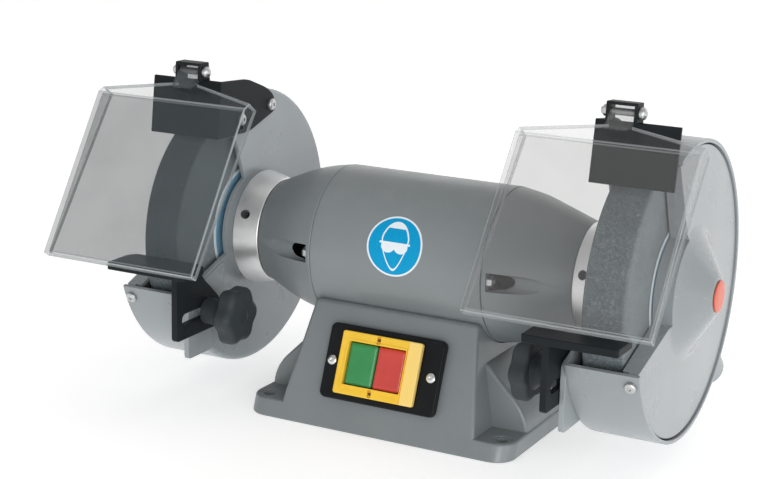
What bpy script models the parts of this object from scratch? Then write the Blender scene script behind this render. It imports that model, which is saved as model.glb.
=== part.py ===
"""Double-ended bench grinder with two guarded wheels, eye shields and tool rests.

Frame: +X along the shaft to the right-hand wheel, -Y towards the operator, +Z up.
The origin is the middle of the base's underside.  All lengths are metres.
"""
import math

import bmesh
import bpy
from mathutils import Matrix, Vector

# ---------------------------------------------------------------- driving dimensions
GAP = 0.0003                  # clearance that touching pieces keep
SHAFT_HEIGHT = 0.128          # shaft axis above the bench

WHEEL_RADIUS = 0.100          # 200 mm wheel
WHEEL_WIDTH = 0.032
WHEEL_BORE = 0.016
WHEEL_FACE = 0.1685           # inner face of each wheel from the middle of the machine

BASE_HALF_WIDTH = 0.113       # across the bolt lugs
BASE_HALF_DEPTH = 0.0888
BASE_TOP = 0.092
PANEL_SLOPE = 0.38            # run over rise of the front and rear panels
BLOCK_FOOT_HALF = 0.085       # half width of the middle block at the bench
BLOCK_TOP_HALF = 0.070        # and at its top
LUG_HEIGHT = 0.0135
LUG_HOLE_X = 0.101
LUG_HOLE_Y = 0.0715
LUG_HOLE_RADIUS = 0.0045
GUSSET_HALF_DEPTH = 0.049     # the flared flank between two lugs

STATOR_RADIUS = 0.0607
STATOR_HALF = 0.0727
BELL_END = {-1: 0.1315, 1: 0.1380}     # the fan end's shield is a little longer
BELL_END_RADIUS = 0.0415
TIE_CIRCLE = 0.0545           # radius on which the three tie bolts lie
TIE_ANGLES = (60.0, 180.0, 300.0)
POCKET_FLOOR = 0.0768         # where the tie bolt heads bear
SHAFT_RADIUS = 0.010
SHAFT_END_RADIUS = 0.008

GUARD_RADIUS = 0.1132
GUARD_WALL = 0.003
GUARD_FACE = 0.159            # motor side of the guard's inner wall
GUARD_RIM = 0.2162            # outer edge of the guard's band
MOUTH_TOP = 112.5             # the wheel is open between these two angles
MOUTH_BOTTOM = 198.5
MOUTH_HUB_RADIUS = 0.0465     # the walls stay closed inside this radius
COVER_TIP = 0.2359

DUST_PORT_X = 0.1985          # short spout at the back of each guard, under the wheel
DUST_PORT_ANGLE = -41.0

REST_TOP = -0.009             # tool rest surface, from the shaft axis
STUD_AT = (-0.085, -0.0512)   # y, z of the rest's clamp stud from the shaft axis
PIVOT_AT = (0.0145, 0.0995)   # y, z of the spark arrestor's pivot screw
SLOT_SCREW_AT = (-0.031, 0.0935)
HINGE_AT = (-0.062, 0.134)    # y, z of the eye shield's hinge pin
CLIP_X = {-1: -0.1808, 1: 0.1772}      # middle of each hinge clip and shield
GRUB_SCREW = {-1: (0.1440, 155.0), 1: (0.1465, 164.0)}    # x and angle in each hub ring
ARRESTOR_LIFT = {-1: 0.0, 1: 3.4}      # degrees that each arrestor is swung up
SHIELD_TILT = {-1: 32.0, 1: 36.5}      # degrees that each shield leans from upright

SWITCH_HEIGHT = 0.0534        # middle of the switch, measured up the front panel
BUTTON_TRAVEL = 0.003

SIDE_NAME = {-1: "left", 1: "right"}


# ---------------------------------------------------------------- modelling helpers
def clear_scene():
    for item in list(bpy.data.objects):
        bpy.data.objects.remove(item, do_unlink=True)


def finish_material(name, colour, roughness, metallic=0.0, alpha=1.0):
    material = bpy.data.materials.new(name)
    material.use_nodes = True
    shader = material.node_tree.nodes["Principled BSDF"]
    shader.inputs["Base Color"].default_value = (*colour, 1.0)
    shader.inputs["Roughness"].default_value = roughness
    shader.inputs["Metallic"].default_value = metallic
    shader.inputs["Alpha"].default_value = alpha
    return material


def arc(radius, start, end, steps, centre=(0.0, 0.0)):
    """Points of an arc, angles in degrees, both ends included."""
    points = []
    for step in range(steps + 1):
        angle = math.radians(start + (end - start) * step / steps)
        points.append((centre[0] + radius * math.cos(angle), centre[1] + radius * math.sin(angle)))
    return points


def raised(points):
    """Moves (y, z) points measured from the shaft axis to heights above the bench."""
    return [(y, z + SHAFT_HEIGHT) for y, z in points]


def make_object(name, mesh_builder, material=None):
    mesh = bpy.data.meshes.new(name)
    bmesh.ops.recalc_face_normals(mesh_builder, faces=mesh_builder.faces)
    mesh_builder.to_mesh(mesh)
    mesh_builder.free()
    made = bpy.data.objects.new(name, mesh)
    bpy.context.scene.collection.objects.link(made)
    if material:
        mesh.materials.append(material)
    return made


def prism(name, outline, low, high, axis="X", material=None, taper=1.0):
    """Extrudes an outline along an axis; taper scales the far end's second coordinate."""
    place = {
        "X": lambda a, b, c: (c, a, b),
        "Y": lambda a, b, c: (a, c, b),
        "Z": lambda a, b, c: (a, b, c),
    }[axis]
    builder = bmesh.new()
    near = [builder.verts.new(place(a, b, low)) for a, b in outline]
    far = [builder.verts.new(place(a, b * taper, high)) for a, b in outline]
    builder.faces.new(near)
    builder.faces.new(list(reversed(far)))
    count = len(outline)
    for index in range(count):
        after = (index + 1) % count
        builder.faces.new((near[index], near[after], far[after], far[index]))
    return make_object(name, builder, material)


def turned(name, profile, segments, centre=(0.0, SHAFT_HEIGHT), material=None):
    """Turns a closed (x, radius) profile about a line along X through (y, z) centre."""
    builder = bmesh.new()
    rings = []
    for x, radius in profile:
        if radius == 0.0:
            rings.append([builder.verts.new((x, centre[0], centre[1]))])
            continue
        ring = []
        for y, z in arc(radius, 0.0, 360.0, segments, centre)[:-1]:
            ring.append(builder.verts.new((x, y, z)))
        rings.append(ring)
    for first, second in zip(rings, rings[1:] + rings[:1]):
        if len(first) == 1 and len(second) == 1:
            continue
        for step in range(segments):
            after = (step + 1) % segments
            if len(first) == 1:
                builder.faces.new((first[0], second[step], second[after]))
            elif len(second) == 1:
                builder.faces.new((first[step], first[after], second[0]))
            else:
                builder.faces.new((first[step], first[after], second[after], second[step]))
    return make_object(name, builder, material)


def rod(name, start, end, radius, segments=16, material=None):
    """A plain round bar between two points."""
    start, end = Vector(start), Vector(end)
    builder = bmesh.new()
    turn = (end - start).to_track_quat("Z", "Y").to_matrix().to_4x4()
    middle = Matrix.Translation((start + end) / 2.0)
    bmesh.ops.create_cone(
        builder, cap_ends=True, segments=segments, radius1=radius, radius2=radius,
        depth=(end - start).length, matrix=middle @ turn)
    return make_object(name, builder, material)


def weld_slivers(mesh):
    builder = bmesh.new()
    builder.from_mesh(mesh)
    bmesh.ops.remove_doubles(builder, verts=builder.verts, dist=0.000004)
    bmesh.ops.dissolve_degenerate(builder, edges=builder.edges, dist=0.000004)
    builder.to_mesh(mesh)
    builder.free()


def combine(target, tool, operation):
    """Joins, cuts or trims the target with the tool, which is used up."""
    modifier = target.modifiers.new("combine", "BOOLEAN")
    modifier.operation = operation
    modifier.solver = "EXACT"
    modifier.object = tool
    evaluated = target.evaluated_get(bpy.context.evaluated_depsgraph_get())
    result = bpy.data.meshes.new_from_object(evaluated)
    target.modifiers.clear()
    weld_slivers(result)
    old = target.data
    target.data = result
    bpy.data.meshes.remove(old)
    bpy.data.objects.remove(tool, do_unlink=True)
    return target


def join(target, *tools):
    for tool in tools:
        combine(target, tool, "UNION")
    return target


def cut(target, *tools):
    for tool in tools:
        combine(target, tool, "DIFFERENCE")
    return target


def mirrored(made, side):
    """Turns a piece modelled for the right-hand wheel into the left-hand one."""
    if side < 0:
        made.data.transform(Matrix.Scale(-1.0, 4, (1.0, 0.0, 0.0)))
        made.data.flip_normals()
    return made


def origin_at(made, point):
    """Puts an object's origin at a point without moving its mesh in the world."""
    made.data.transform(Matrix.Translation(-Vector(point)))
    made.location = point
    return made


def swung(made, point, degrees):
    """Turns a piece about a line along X through (y, z); positive lifts its front."""
    origin_at(made, (0.0, point[0], point[1]))
    made.rotation_euler = (-math.radians(degrees), 0.0, 0.0)
    return made


def dressed(made, material, crease=35.0):
    made.data.materials.clear()
    made.data.materials.append(material)
    made.data.shade_smooth()
    made.data.set_sharp_from_angle(angle=math.radians(crease))
    return made


# ---------------------------------------------------------------- base
def panel_matrix():
    """Local X, up the front panel, and out of it, from the panel's foot."""
    lean = math.atan(PANEL_SLOPE)
    up = Vector((0.0, math.sin(lean), math.cos(lean)))
    out = Vector((0.0, -math.cos(lean), math.sin(lean)))
    frame = Matrix((Vector((1.0, 0.0, 0.0)), up, out)).transposed().to_4x4()
    frame.translation = (0.0, -BASE_HALF_DEPTH, 0.0)
    return frame


def rounded_rectangle(half_a, half_b, radius, steps=4, centre=(0.0, 0.0)):
    points = []
    for sign_a, sign_b, start in ((1, 1, 0), (-1, 1, 90), (-1, -1, 180), (1, -1, 270)):
        corner = (centre[0] + sign_a * (half_a - radius), centre[1] + sign_b * (half_b - radius))
        points += arc(radius, start, start + 90, steps, corner)
    return points


def tapered_block(name, foot, top, low, high):
    """A four-sided block between a foot and a top, each (half width, half depth)."""
    builder = bmesh.new()
    rings = []
    for (half_x, half_y), z in ((foot, low), (top, high)):
        corners = ((half_x, half_y), (-half_x, half_y), (-half_x, -half_y), (half_x, -half_y))
        rings.append([builder.verts.new((x, y, z)) for x, y in corners])
    builder.faces.new(rings[0])
    builder.faces.new(list(reversed(rings[1])))
    for index in range(4):
        after = (index + 1) % 4
        builder.faces.new((rings[0][index], rings[0][after], rings[1][after], rings[1][index]))
    return make_object(name, builder)


def build_base(paint):
    top_depth = BASE_HALF_DEPTH - PANEL_SLOPE * BASE_TOP
    base = tapered_block("base_casting", (BLOCK_FOOT_HALF, BASE_HALF_DEPTH),
                         (BLOCK_TOP_HALF, top_depth), 0.0, BASE_TOP)
    foot_outline = rounded_rectangle(BASE_HALF_WIDTH, BASE_HALF_DEPTH, 0.017, 5)
    foot_taper = 1.0 - PANEL_SLOPE * LUG_HEIGHT / BASE_HALF_DEPTH
    foot = prism("foot", foot_outline, 0.0, LUG_HEIGHT, "Z", taper=foot_taper)
    flank = [(0.060, 0.001), (0.1115, 0.001), (0.1115, 0.0215), (0.1095, 0.0260),
             (0.0960, 0.0430), (0.0840, 0.0545), (0.0735, 0.0640), (0.060, 0.0640)]
    join(base, foot)
    for side in (1, -1):
        gusset = prism("gusset", flank, -GUSSET_HALF_DEPTH, GUSSET_HALF_DEPTH, "Y")
        join(base, mirrored(gusset, side))
    cavity = tapered_block("cavity", (0.074, 0.074), (0.060, 0.043), 0.002, 0.085)
    rebate = prism("rebate", rounded_rectangle(0.079, 0.079, 0.004, 2), -0.01, 0.0023, "Z")
    saddle_radius = STATOR_RADIUS + GAP
    saddle = rod("saddle", (-0.12, 0.0, SHAFT_HEIGHT), (0.12, 0.0, SHAFT_HEIGHT), saddle_radius, 48)
    cut(base, cavity, rebate, saddle)
    for x in (-LUG_HOLE_X, LUG_HOLE_X):
        for y in (-LUG_HOLE_Y, LUG_HOLE_Y):
            cut(base, rod("hole", (x, y, -0.01), (x, y, 0.03), LUG_HOLE_RADIUS, 16))
    window = prism("window", rounded_rectangle(0.0255, 0.0185, 0.002, 1, (-0.003, SWITCH_HEIGHT)),
                   -0.030, 0.010, "Z")
    window.matrix_world = panel_matrix()
    cut(base, window)
    dressed(base, paint)


def build_base_cover(steel):
    outline = rounded_rectangle(0.0785, 0.0785, 0.004, 2)
    dressed(prism("base_cover", outline, 0.0, 0.0018, "Z"), steel)


def build_capacitor(plastic):
    body = rod("capacitor", (-0.032, 0.030, 0.020), (0.032, 0.030, 0.020), 0.0165, 20)
    dressed(body, plastic)


# ---------------------------------------------------------------- switch
def on_panel(made):
    made.matrix_world = panel_matrix()
    return made


def build_switch(plate_black, yellow, green, red, body_black, zinc):
    middle = (0.001, SWITCH_HEIGHT)
    framed = (-0.0005, SWITCH_HEIGHT)
    opening = (-0.003, SWITCH_HEIGHT)        # the buttons sit left of the plate's middle
    plate = prism("switch_plate", rounded_rectangle(0.049, 0.0292, 0.005, 3, middle),
                  GAP, 0.007, "Z")
    hole = prism("hole", rounded_rectangle(0.0255, 0.0185, 0.002, 1, opening), -0.01, 0.02, "Z")
    cut(plate, hole)
    for x in (-0.0412, 0.0434):
        cut(plate, rod("hole", (x, SWITCH_HEIGHT, -0.01), (x, SWITCH_HEIGHT, 0.02), 0.0023, 12))
    dressed(on_panel(plate), plate_black)

    frame = prism("switch_frame", rounded_rectangle(0.034, 0.0243, 0.0015, 2, framed),
                  0.007 + GAP, 0.012, "Z")
    cut(frame, prism("hole", rounded_rectangle(0.0245, 0.0168, 0.001, 1, opening), 0.0, 0.02, "Z"))
    dressed(on_panel(frame), yellow)

    body = prism("switch_body", rounded_rectangle(0.0250, 0.0180, 0.002, 1, opening),
                 -0.030, 0.0042, "Z")
    dressed(on_panel(body), body_black)

    for name, middle_x, colour in (("start_button", -0.0151, green), ("stop_button", 0.0091, red)):
        button = prism(name, rounded_rectangle(0.0117, 0.0162, 0.0015, 2, (middle_x, SWITCH_HEIGHT)),
                       0.0042 + BUTTON_TRAVEL + GAP, 0.0112, "Z")
        dressed(on_panel(button), colour)

    for name, x in (("plate_screw_left", -0.0412), ("plate_screw_right", 0.0434)):
        screw = rod(name, (x, SWITCH_HEIGHT, 0.0005), (x, SWITCH_HEIGHT, 0.0085), 0.0020, 12)
        head = rod("head", (x, SWITCH_HEIGHT, 0.007 + GAP), (x, SWITCH_HEIGHT, 0.0092), 0.0039, 16)
        dressed(on_panel(join(screw, head)), zinc)


# ---------------------------------------------------------------- motor
def build_stator(paint, core_steel, copper):
    shell = [(-STATOR_HALF, 0.0578), (-STATOR_HALF, STATOR_RADIUS),
             (STATOR_HALF, STATOR_RADIUS), (STATOR_HALF, 0.0578)]
    dressed(turned("stator_housing", shell, 48), paint)
    core = turned("stator_core", [(-0.035, 0.0325), (-0.035, 0.0567),
                                  (0.035, 0.0567), (0.035, 0.0325)], 24)
    for y, z in tie_points():
        cut(core, rod("hole", (-0.05, y, z), (0.05, y, z), 0.0032, 12))
    dressed(core, core_steel)
    for side in (-1, 1):
        coil = turned("winding_" + SIDE_NAME[side],
                      [(0.0355, 0.0345), (0.0355, 0.0465), (0.0525, 0.0455), (0.0560, 0.0420),
                       (0.0560, 0.0385), (0.0525, 0.0345)], 16)
        dressed(mirrored(coil, side), copper)


def tie_points():
    points = []
    for angle in TIE_ANGLES:
        turn = math.radians(angle)
        points.append((TIE_CIRCLE * math.cos(turn), SHAFT_HEIGHT + TIE_CIRCLE * math.sin(turn)))
    return points


def build_tie_bolts(zinc):
    for number, (y, z) in enumerate(tie_points(), start=1):
        reach = POCKET_FLOOR + GAP
        bolt = rod("tie_bolt_%d" % number, (-reach - 0.001, y, z), (reach + 0.001, y, z), 0.0025, 10)
        for side in (-1, 1):
            head = rod("head", (side * reach, y, z), (side * (reach + 0.0045), y, z), 0.0046, 6)
            join(bolt, head)
        dressed(bolt, zinc, 25.0)


def bolt_pocket(angle):
    """A slot with a round floor that a tie bolt's head sits in, open to the outside."""
    outline = arc(0.0070, angle + 90.0, angle + 270.0, 8, (0.0, 0.0))
    turn = math.radians(angle)
    out, across = Vector((math.cos(turn), math.sin(turn))), Vector((-math.sin(turn), math.cos(turn)))
    outline += [tuple(out * 0.016 - across * 0.0078), tuple(out * 0.016 + across * 0.0078)]
    centre = Vector((TIE_CIRCLE * math.cos(turn), SHAFT_HEIGHT + TIE_CIRCLE * math.sin(turn)))
    moved = [tuple(centre + Vector(point)) for point in outline]
    return prism("pocket", moved, POCKET_FLOOR, 0.15, "X")


def build_end_shields(paint):
    mouth = STATOR_HALF + GAP
    hollow = [(mouth - 0.01, 0.0), (mouth - 0.01, 0.0560), (0.090, 0.0525), (0.105, 0.0460),
              (0.1115, 0.0420), (0.1115, 0.0)]
    for side in (-1, 1):
        end = BELL_END[side]
        solid = [(mouth, 0.0), (mouth, STATOR_RADIUS - 0.0012), (mouth + 0.0012, STATOR_RADIUS),
                 (0.090, 0.0577), (0.108, 0.0518), (end, BELL_END_RADIUS), (end, 0.0)]
        bell = turned("end_shield_" + SIDE_NAME[side], solid, 32)
        room = turned("room", hollow, 20)
        for y, z in tie_points():
            cut(room, rod("boss", (0.05, y, z), (0.12, y, z), 0.0084, 12))
        seat = [(0.10, 0.0), (0.10, 0.0235 + GAP), (0.1262, 0.0235 + GAP), (0.1262, 0.0140),
                (0.15, 0.0140), (0.15, 0.0)]
        cut(bell, room, turned("seat", seat, 16))
        for angle, (y, z) in zip(TIE_ANGLES, tie_points()):
            hole = rod("hole", (0.06, y, z), (0.09, y, z), 0.0029, 10)
            cut(bell, bolt_pocket(angle), hole)
        dressed(mirrored(bell, side), paint)


def build_bearings(bearing_steel):
    profile = [(0.1120, 0.0103), (0.1120, 0.0235), (0.1260, 0.0235), (0.1260, 0.0103)]
    for side in (-1, 1):
        race = turned("bearing_" + SIDE_NAME[side], profile, 16)
        dressed(mirrored(race, side), bearing_steel)


def build_hub_rings(satin):
    for side in (-1, 1):
        start_x = BELL_END[side] + GAP
        profile = [(start_x, 0.0240), (start_x, 0.0422), (0.1522, 0.0468), (0.1522, 0.0240)]
        ring = turned("hub_ring_" + SIDE_NAME[side], profile, 36)
        grub_x, angle = GRUB_SCREW[side]
        grub = math.radians(angle)
        inner, outer = 0.034, 0.06
        start = (grub_x, inner * math.cos(grub), SHAFT_HEIGHT + inner * math.sin(grub))
        end = (grub_x, outer * math.cos(grub), SHAFT_HEIGHT + outer * math.sin(grub))
        cut(ring, rod("grub_hole", start, end, 0.0038, 14))
        dressed(mirrored(ring, side), satin)


# ---------------------------------------------------------------- rotor
def build_rotor(shaft_steel, core_steel):
    half = [(0.0, SHAFT_RADIUS), (0.1632, SHAFT_RADIUS), (0.1632, SHAFT_END_RADIUS),
            (0.2225, SHAFT_END_RADIUS), (0.2235, SHAFT_END_RADIUS - 0.001), (0.2235, 0.0)]
    other = [(-x, radius) for x, radius in reversed(half[1:])]
    dressed(turned("shaft", other + half[1:], 16), shaft_steel)
    core = [(-0.035, SHAFT_RADIUS + GAP), (-0.035, 0.0316), (0.035, 0.0316), (0.035, SHAFT_RADIUS + GAP)]
    dressed(turned("rotor_core", core, 24), core_steel)


def build_wheels(abrasive, paper, flange_steel, nut_steel):
    wheel_end = WHEEL_FACE + WHEEL_WIDTH
    stone = [(WHEEL_FACE, WHEEL_BORE), (WHEEL_FACE, WHEEL_RADIUS),
             (wheel_end, WHEEL_RADIUS), (wheel_end, WHEEL_BORE)]
    spigot = WHEEL_BORE - GAP
    bore = SHAFT_END_RADIUS + GAP
    inner = [(0.1635, bore), (0.1635, 0.030), (0.1650, 0.036), (0.1672, 0.036), (0.1672, spigot),
             (0.1955, spigot), (0.1955, bore)]
    outer = [(wheel_end + 0.0013, bore), (wheel_end + 0.0013, 0.036), (wheel_end + 0.0035, 0.036),
             (wheel_end + 0.0053, 0.030), (wheel_end + 0.0053, bore)]
    label_in = [(0.1675, 0.0165), (0.1675, 0.050), (0.1682, 0.050), (0.1682, 0.0165)]
    label_out = [(wheel_end + GAP, 0.0165), (wheel_end + GAP, 0.050),
                 (wheel_end + 0.0010, 0.050), (wheel_end + 0.0010, 0.0165)]
    for side in (-1, 1):
        word = SIDE_NAME[side]
        pieces = (("wheel_" + word, stone, 48, abrasive), ("inner_flange_" + word, inner, 16, flange_steel),
                  ("outer_flange_" + word, outer, 16, flange_steel),
                  ("inner_blotter_" + word, label_in, 16, paper),
                  ("outer_blotter_" + word, label_out, 16, paper))
        for name, profile, segments, material in pieces:
            dressed(mirrored(turned(name, profile, segments), side), material)
        nut_start = wheel_end + 0.0053 + GAP
        nut = rod("wheel_nut_" + word, (nut_start, 0.0, SHAFT_HEIGHT),
                  (nut_start + 0.013, 0.0, SHAFT_HEIGHT), 0.0139, 6)
        cut(nut, rod("hole", (0.19, 0.0, SHAFT_HEIGHT), (0.24, 0.0, SHAFT_HEIGHT),
                     SHAFT_END_RADIUS + GAP, 24))
        dressed(mirrored(nut, side), nut_steel, 25.0)


# ---------------------------------------------------------------- wheel guards
def mouth_region(radius):
    """The open sector in front of the wheel, outside the hub disc."""
    hub = arc(MOUTH_HUB_RADIUS, MOUTH_TOP, MOUTH_BOTTOM, 14)
    far = arc(radius, MOUTH_BOTTOM, MOUTH_TOP, 6)
    return raised(hub + far)


def build_guards(paint):
    rim = GUARD_RADIUS
    for side in (-1, 1):
        drum = [(GUARD_FACE, 0.0), (GUARD_FACE, rim - 0.0025), (GUARD_FACE + 0.0025, rim),
                (GUARD_RIM, rim), (GUARD_RIM, 0.0)]
        chamber = [(GUARD_FACE + GUARD_WALL, 0.0), (GUARD_FACE + GUARD_WALL, rim - GUARD_WALL),
                   (0.23, rim - GUARD_WALL), (0.23, 0.0)]
        guard = turned("guard_" + SIDE_NAME[side], drum, 36)
        cut(guard, turned("chamber", chamber, 36))
        cut(guard, prism("mouth", mouth_region(0.15), 0.15, 0.25, "X"))
        boss = [(0.1525, 0.0), (0.1525, 0.0450), (0.1605, 0.0450), (0.1605, 0.0)]
        join(guard, turned("boss", boss, 24))
        pad = [(-0.1030, -0.0885), (-0.070, -0.0885), (-0.050, -0.060), (-0.050, -0.0190),
               (-0.1030, -0.0370)]
        join(guard, prism("pad", raised(pad), 0.1568, 0.1610, "X"))
        for y, z in raised((PIVOT_AT, SLOT_SCREW_AT)):
            join(guard, rod("boss", (0.1580, y, z), (0.1605, y, z), 0.0058, 16))
        turn = math.radians(DUST_PORT_ANGLE)
        along = Vector((0.0, math.cos(turn), math.sin(turn)))
        middle = Vector((DUST_PORT_X, 0.0, SHAFT_HEIGHT))
        port = rod("port", middle + along * 0.1107, middle + along * 0.1370, 0.0155, 20)
        join(guard, port)
        cut(guard, rod("bore", middle + along * 0.1000, middle + along * 0.1400, 0.0130, 16))
        cut(guard, rod("hole", (0.14, 0.0, SHAFT_HEIGHT), (0.17, 0.0, SHAFT_HEIGHT), 0.024, 24))
        for y, z in raised((PIVOT_AT, SLOT_SCREW_AT)):
            cut(guard, rod("hole", (0.15, y, z), (0.17, y, z), 0.0028, 12))
        stud = raised((STUD_AT,))[0]
        join(guard, rod("clamp_stud", (0.1390, *stud), (0.1600, *stud), 0.0039, 12))
        cut(guard, cover_screw_bar("hole", 0.100, 0.120, 0.0024))
        dressed(mirrored(guard, side), paint)


def cover_screw_bar(name, inner, outer, radius):
    """A bar along the cover screw, which points at the shaft."""
    turn = math.radians(203.0)
    start = (0.2095, inner * math.cos(turn), SHAFT_HEIGHT + inner * math.sin(turn))
    end = (0.2095, outer * math.cos(turn), SHAFT_HEIGHT + outer * math.sin(turn))
    return rod(name, start, end, radius, 14)


def build_guard_covers(paint, cap_orange, zinc):
    edge = GUARD_RADIUS - GUARD_WALL - 0.0010
    lip = edge - 0.003
    dish = [(COVER_TIP, 0.0085), (COVER_TIP, 0.0140), (0.2190, 0.0430), (0.2160, 0.0490),
            (0.2146, edge), (0.2070, edge), (0.2070, lip), (0.2112, lip), (0.2125, 0.0490),
            (0.2155, 0.0425), (0.2312, 0.0140), (0.2312, 0.0085)]
    for side in (-1, 1):
        cover = turned("guard_cover_" + SIDE_NAME[side], dish, 36)
        cut(cover, prism("mouth", mouth_region(0.14), 0.19, 0.25, "X"))
        join(cover, prism("edge_wall", edge_strip(lip + 0.001, 0.003), 0.2024, 0.2140, "X"))
        cut(cover, cover_screw_bar("hole", 0.100, 0.120, 0.0024))
        dressed(mirrored(cover, side), paint)

        cap = turned("cover_cap_" + SIDE_NAME[side],
                     [(0.2300, 0.0), (0.2300, 0.0081), (COVER_TIP + GAP, 0.0081),
                      (COVER_TIP + GAP, 0.0120), (0.2376, 0.0120), (0.2382, 0.0112), (0.2382, 0.0)], 16)
        dressed(mirrored(cap, side), cap_orange)

        screw = cover_screw_bar("cover_screw_" + SIDE_NAME[side], 0.104, 0.1145, 0.0020)
        join(screw, cover_screw_bar("head", GUARD_RADIUS + GAP, GUARD_RADIUS + 0.0032, 0.0045))
        dressed(mirrored(screw, side), zinc)


def edge_strip(radius, width):
    """The turned-in wall along the mouth, between the mouth's edge and a line behind it."""
    top, bottom = MOUTH_TOP, MOUTH_BOTTOM
    hub = MOUTH_HUB_RADIUS
    front = arc(radius, top, top, 1)[:1] + arc(hub, top, bottom, 14) + arc(radius, bottom, bottom, 1)[:1]
    hub_turn = math.degrees(math.asin(width / (hub - width)))
    rim_turn = math.degrees(math.asin(width / radius))
    behind = arc(radius, bottom + rim_turn, bottom, 1)[:1]
    behind += arc(hub - width, bottom + hub_turn, top - hub_turn, 16)
    behind += arc(radius, top - rim_turn, top, 1)[:1]
    return raised(front + behind)


# ---------------------------------------------------------------- spark arrestors and shields
def from_pivot(point, degrees):
    """Where a (y, z) point goes when the arrestor is swung up about its pivot screw."""
    turn = -math.radians(degrees)
    away = (point[0] - PIVOT_AT[0], point[1] - PIVOT_AT[1])
    y = away[0] * math.cos(turn) - away[1] * math.sin(turn) + PIVOT_AT[0]
    z = away[0] * math.sin(turn) + away[1] * math.cos(turn) + PIVOT_AT[1]
    return (y, z)


def build_arrestors(black, zinc):
    low, high = 0.082, 0.127
    face = [(-0.0590, high), (-0.0640, low), (-0.0615, low), (-0.0565, high)]
    arm = [(-0.0588, high), (-0.020, 0.1245), (0.008, 0.1145), (0.020, 0.107), (0.0245, 0.094),
           (-0.017, 0.0815), (-0.0638, low)]
    reach = math.dist(PIVOT_AT, SLOT_SCREW_AT)
    bearing = math.degrees(math.atan2(SLOT_SCREW_AT[1] - PIVOT_AT[1], SLOT_SCREW_AT[0] - PIVOT_AT[0])) % 360.0
    slot = arc(reach + 0.0029, bearing - 5.5, bearing + 11.0, 8, PIVOT_AT)
    slot += arc(reach - 0.0029, bearing + 11.0, bearing - 5.5, 8, PIVOT_AT)
    pivot = raised((PIVOT_AT,))[0]
    for side in (-1, 1):
        plate = prism("spark_arrestor_" + SIDE_NAME[side], raised(face), 0.1552, 0.2185, "X")
        join(plate, prism("arm", raised(arm), 0.1552, 0.1577, "X"))
        cut(plate, prism("slot", raised(slot), 0.15, 0.16, "X"))
        cut(plate, rod("hole", (0.15, *pivot), (0.16, *pivot), 0.0028, 12))
        swung(dressed(mirrored(plate, side), black), pivot, ARRESTOR_LIFT[side])

        strip = [(-0.037, 0.0875), (0.0205, 0.0945), (0.0195, 0.1045), (-0.0345, 0.0985)]
        screws = prism("arrestor_screws_" + SIDE_NAME[side], raised(strip), 0.1623, 0.1650, "X")
        for y, z in raised((PIVOT_AT, SLOT_SCREW_AT)):
            join(screws, rod("shank", (0.1535, y, z), (0.1640, y, z), 0.0025, 12))
            join(screws, rod("head", (0.1515, y, z), (0.1549, y, z), 0.0048, 16))
        dressed(mirrored(screws, side), zinc)


def build_clips(black, zinc):
    low, shelf, top = 0.1173, 0.1273, 0.1412
    outline = [(-0.0680, shelf), (-0.0672, top), (-0.0555, top), (-0.0537, 0.1270), (-0.0537, low), (-0.0573, low),
               (-0.0562, shelf)]
    half, wall = 0.0118, 0.0025
    for side in (-1, 1):
        middle = CLIP_X[side]
        pivot = raised((PIVOT_AT,))[0]
        clip = prism("shield_clip_" + SIDE_NAME[side], raised(outline), middle - half, middle + half, "X")
        channel = [(-0.08, 0.1250), (-0.08, 0.1390), (-0.04, 0.1390), (-0.04, 0.1250)]
        cut(clip, prism("channel", raised(channel), middle - half + wall, middle + half - wall, "X"))
        hinge = raised((HINGE_AT,))[0]
        cut(clip, rod("hole", (middle - 0.02, *hinge), (middle + 0.02, *hinge), 0.0028, 12))
        swung(dressed(clip, black), pivot, ARRESTOR_LIFT[side])

        pin = rod("shield_pin_" + SIDE_NAME[side], (middle - 0.0165, *hinge), (middle + 0.0135, *hinge),
                  0.0025, 12)
        start_x = half + GAP
        nut = rod("nut", (middle - start_x - 0.0028, *hinge), (middle - start_x, *hinge), 0.0042, 6)
        dome = turned("dome", [(middle + start_x, 0.0), (middle + start_x, 0.0045),
                               (middle + start_x + 0.0025, 0.0045),
                               (middle + start_x + 0.0042, 0.0034), (middle + start_x + 0.0048, 0.0)],
                      12, hinge)
        join(pin, nut, dome)
        swung(dressed(pin, zinc), pivot, ARRESTOR_LIFT[side])


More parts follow.
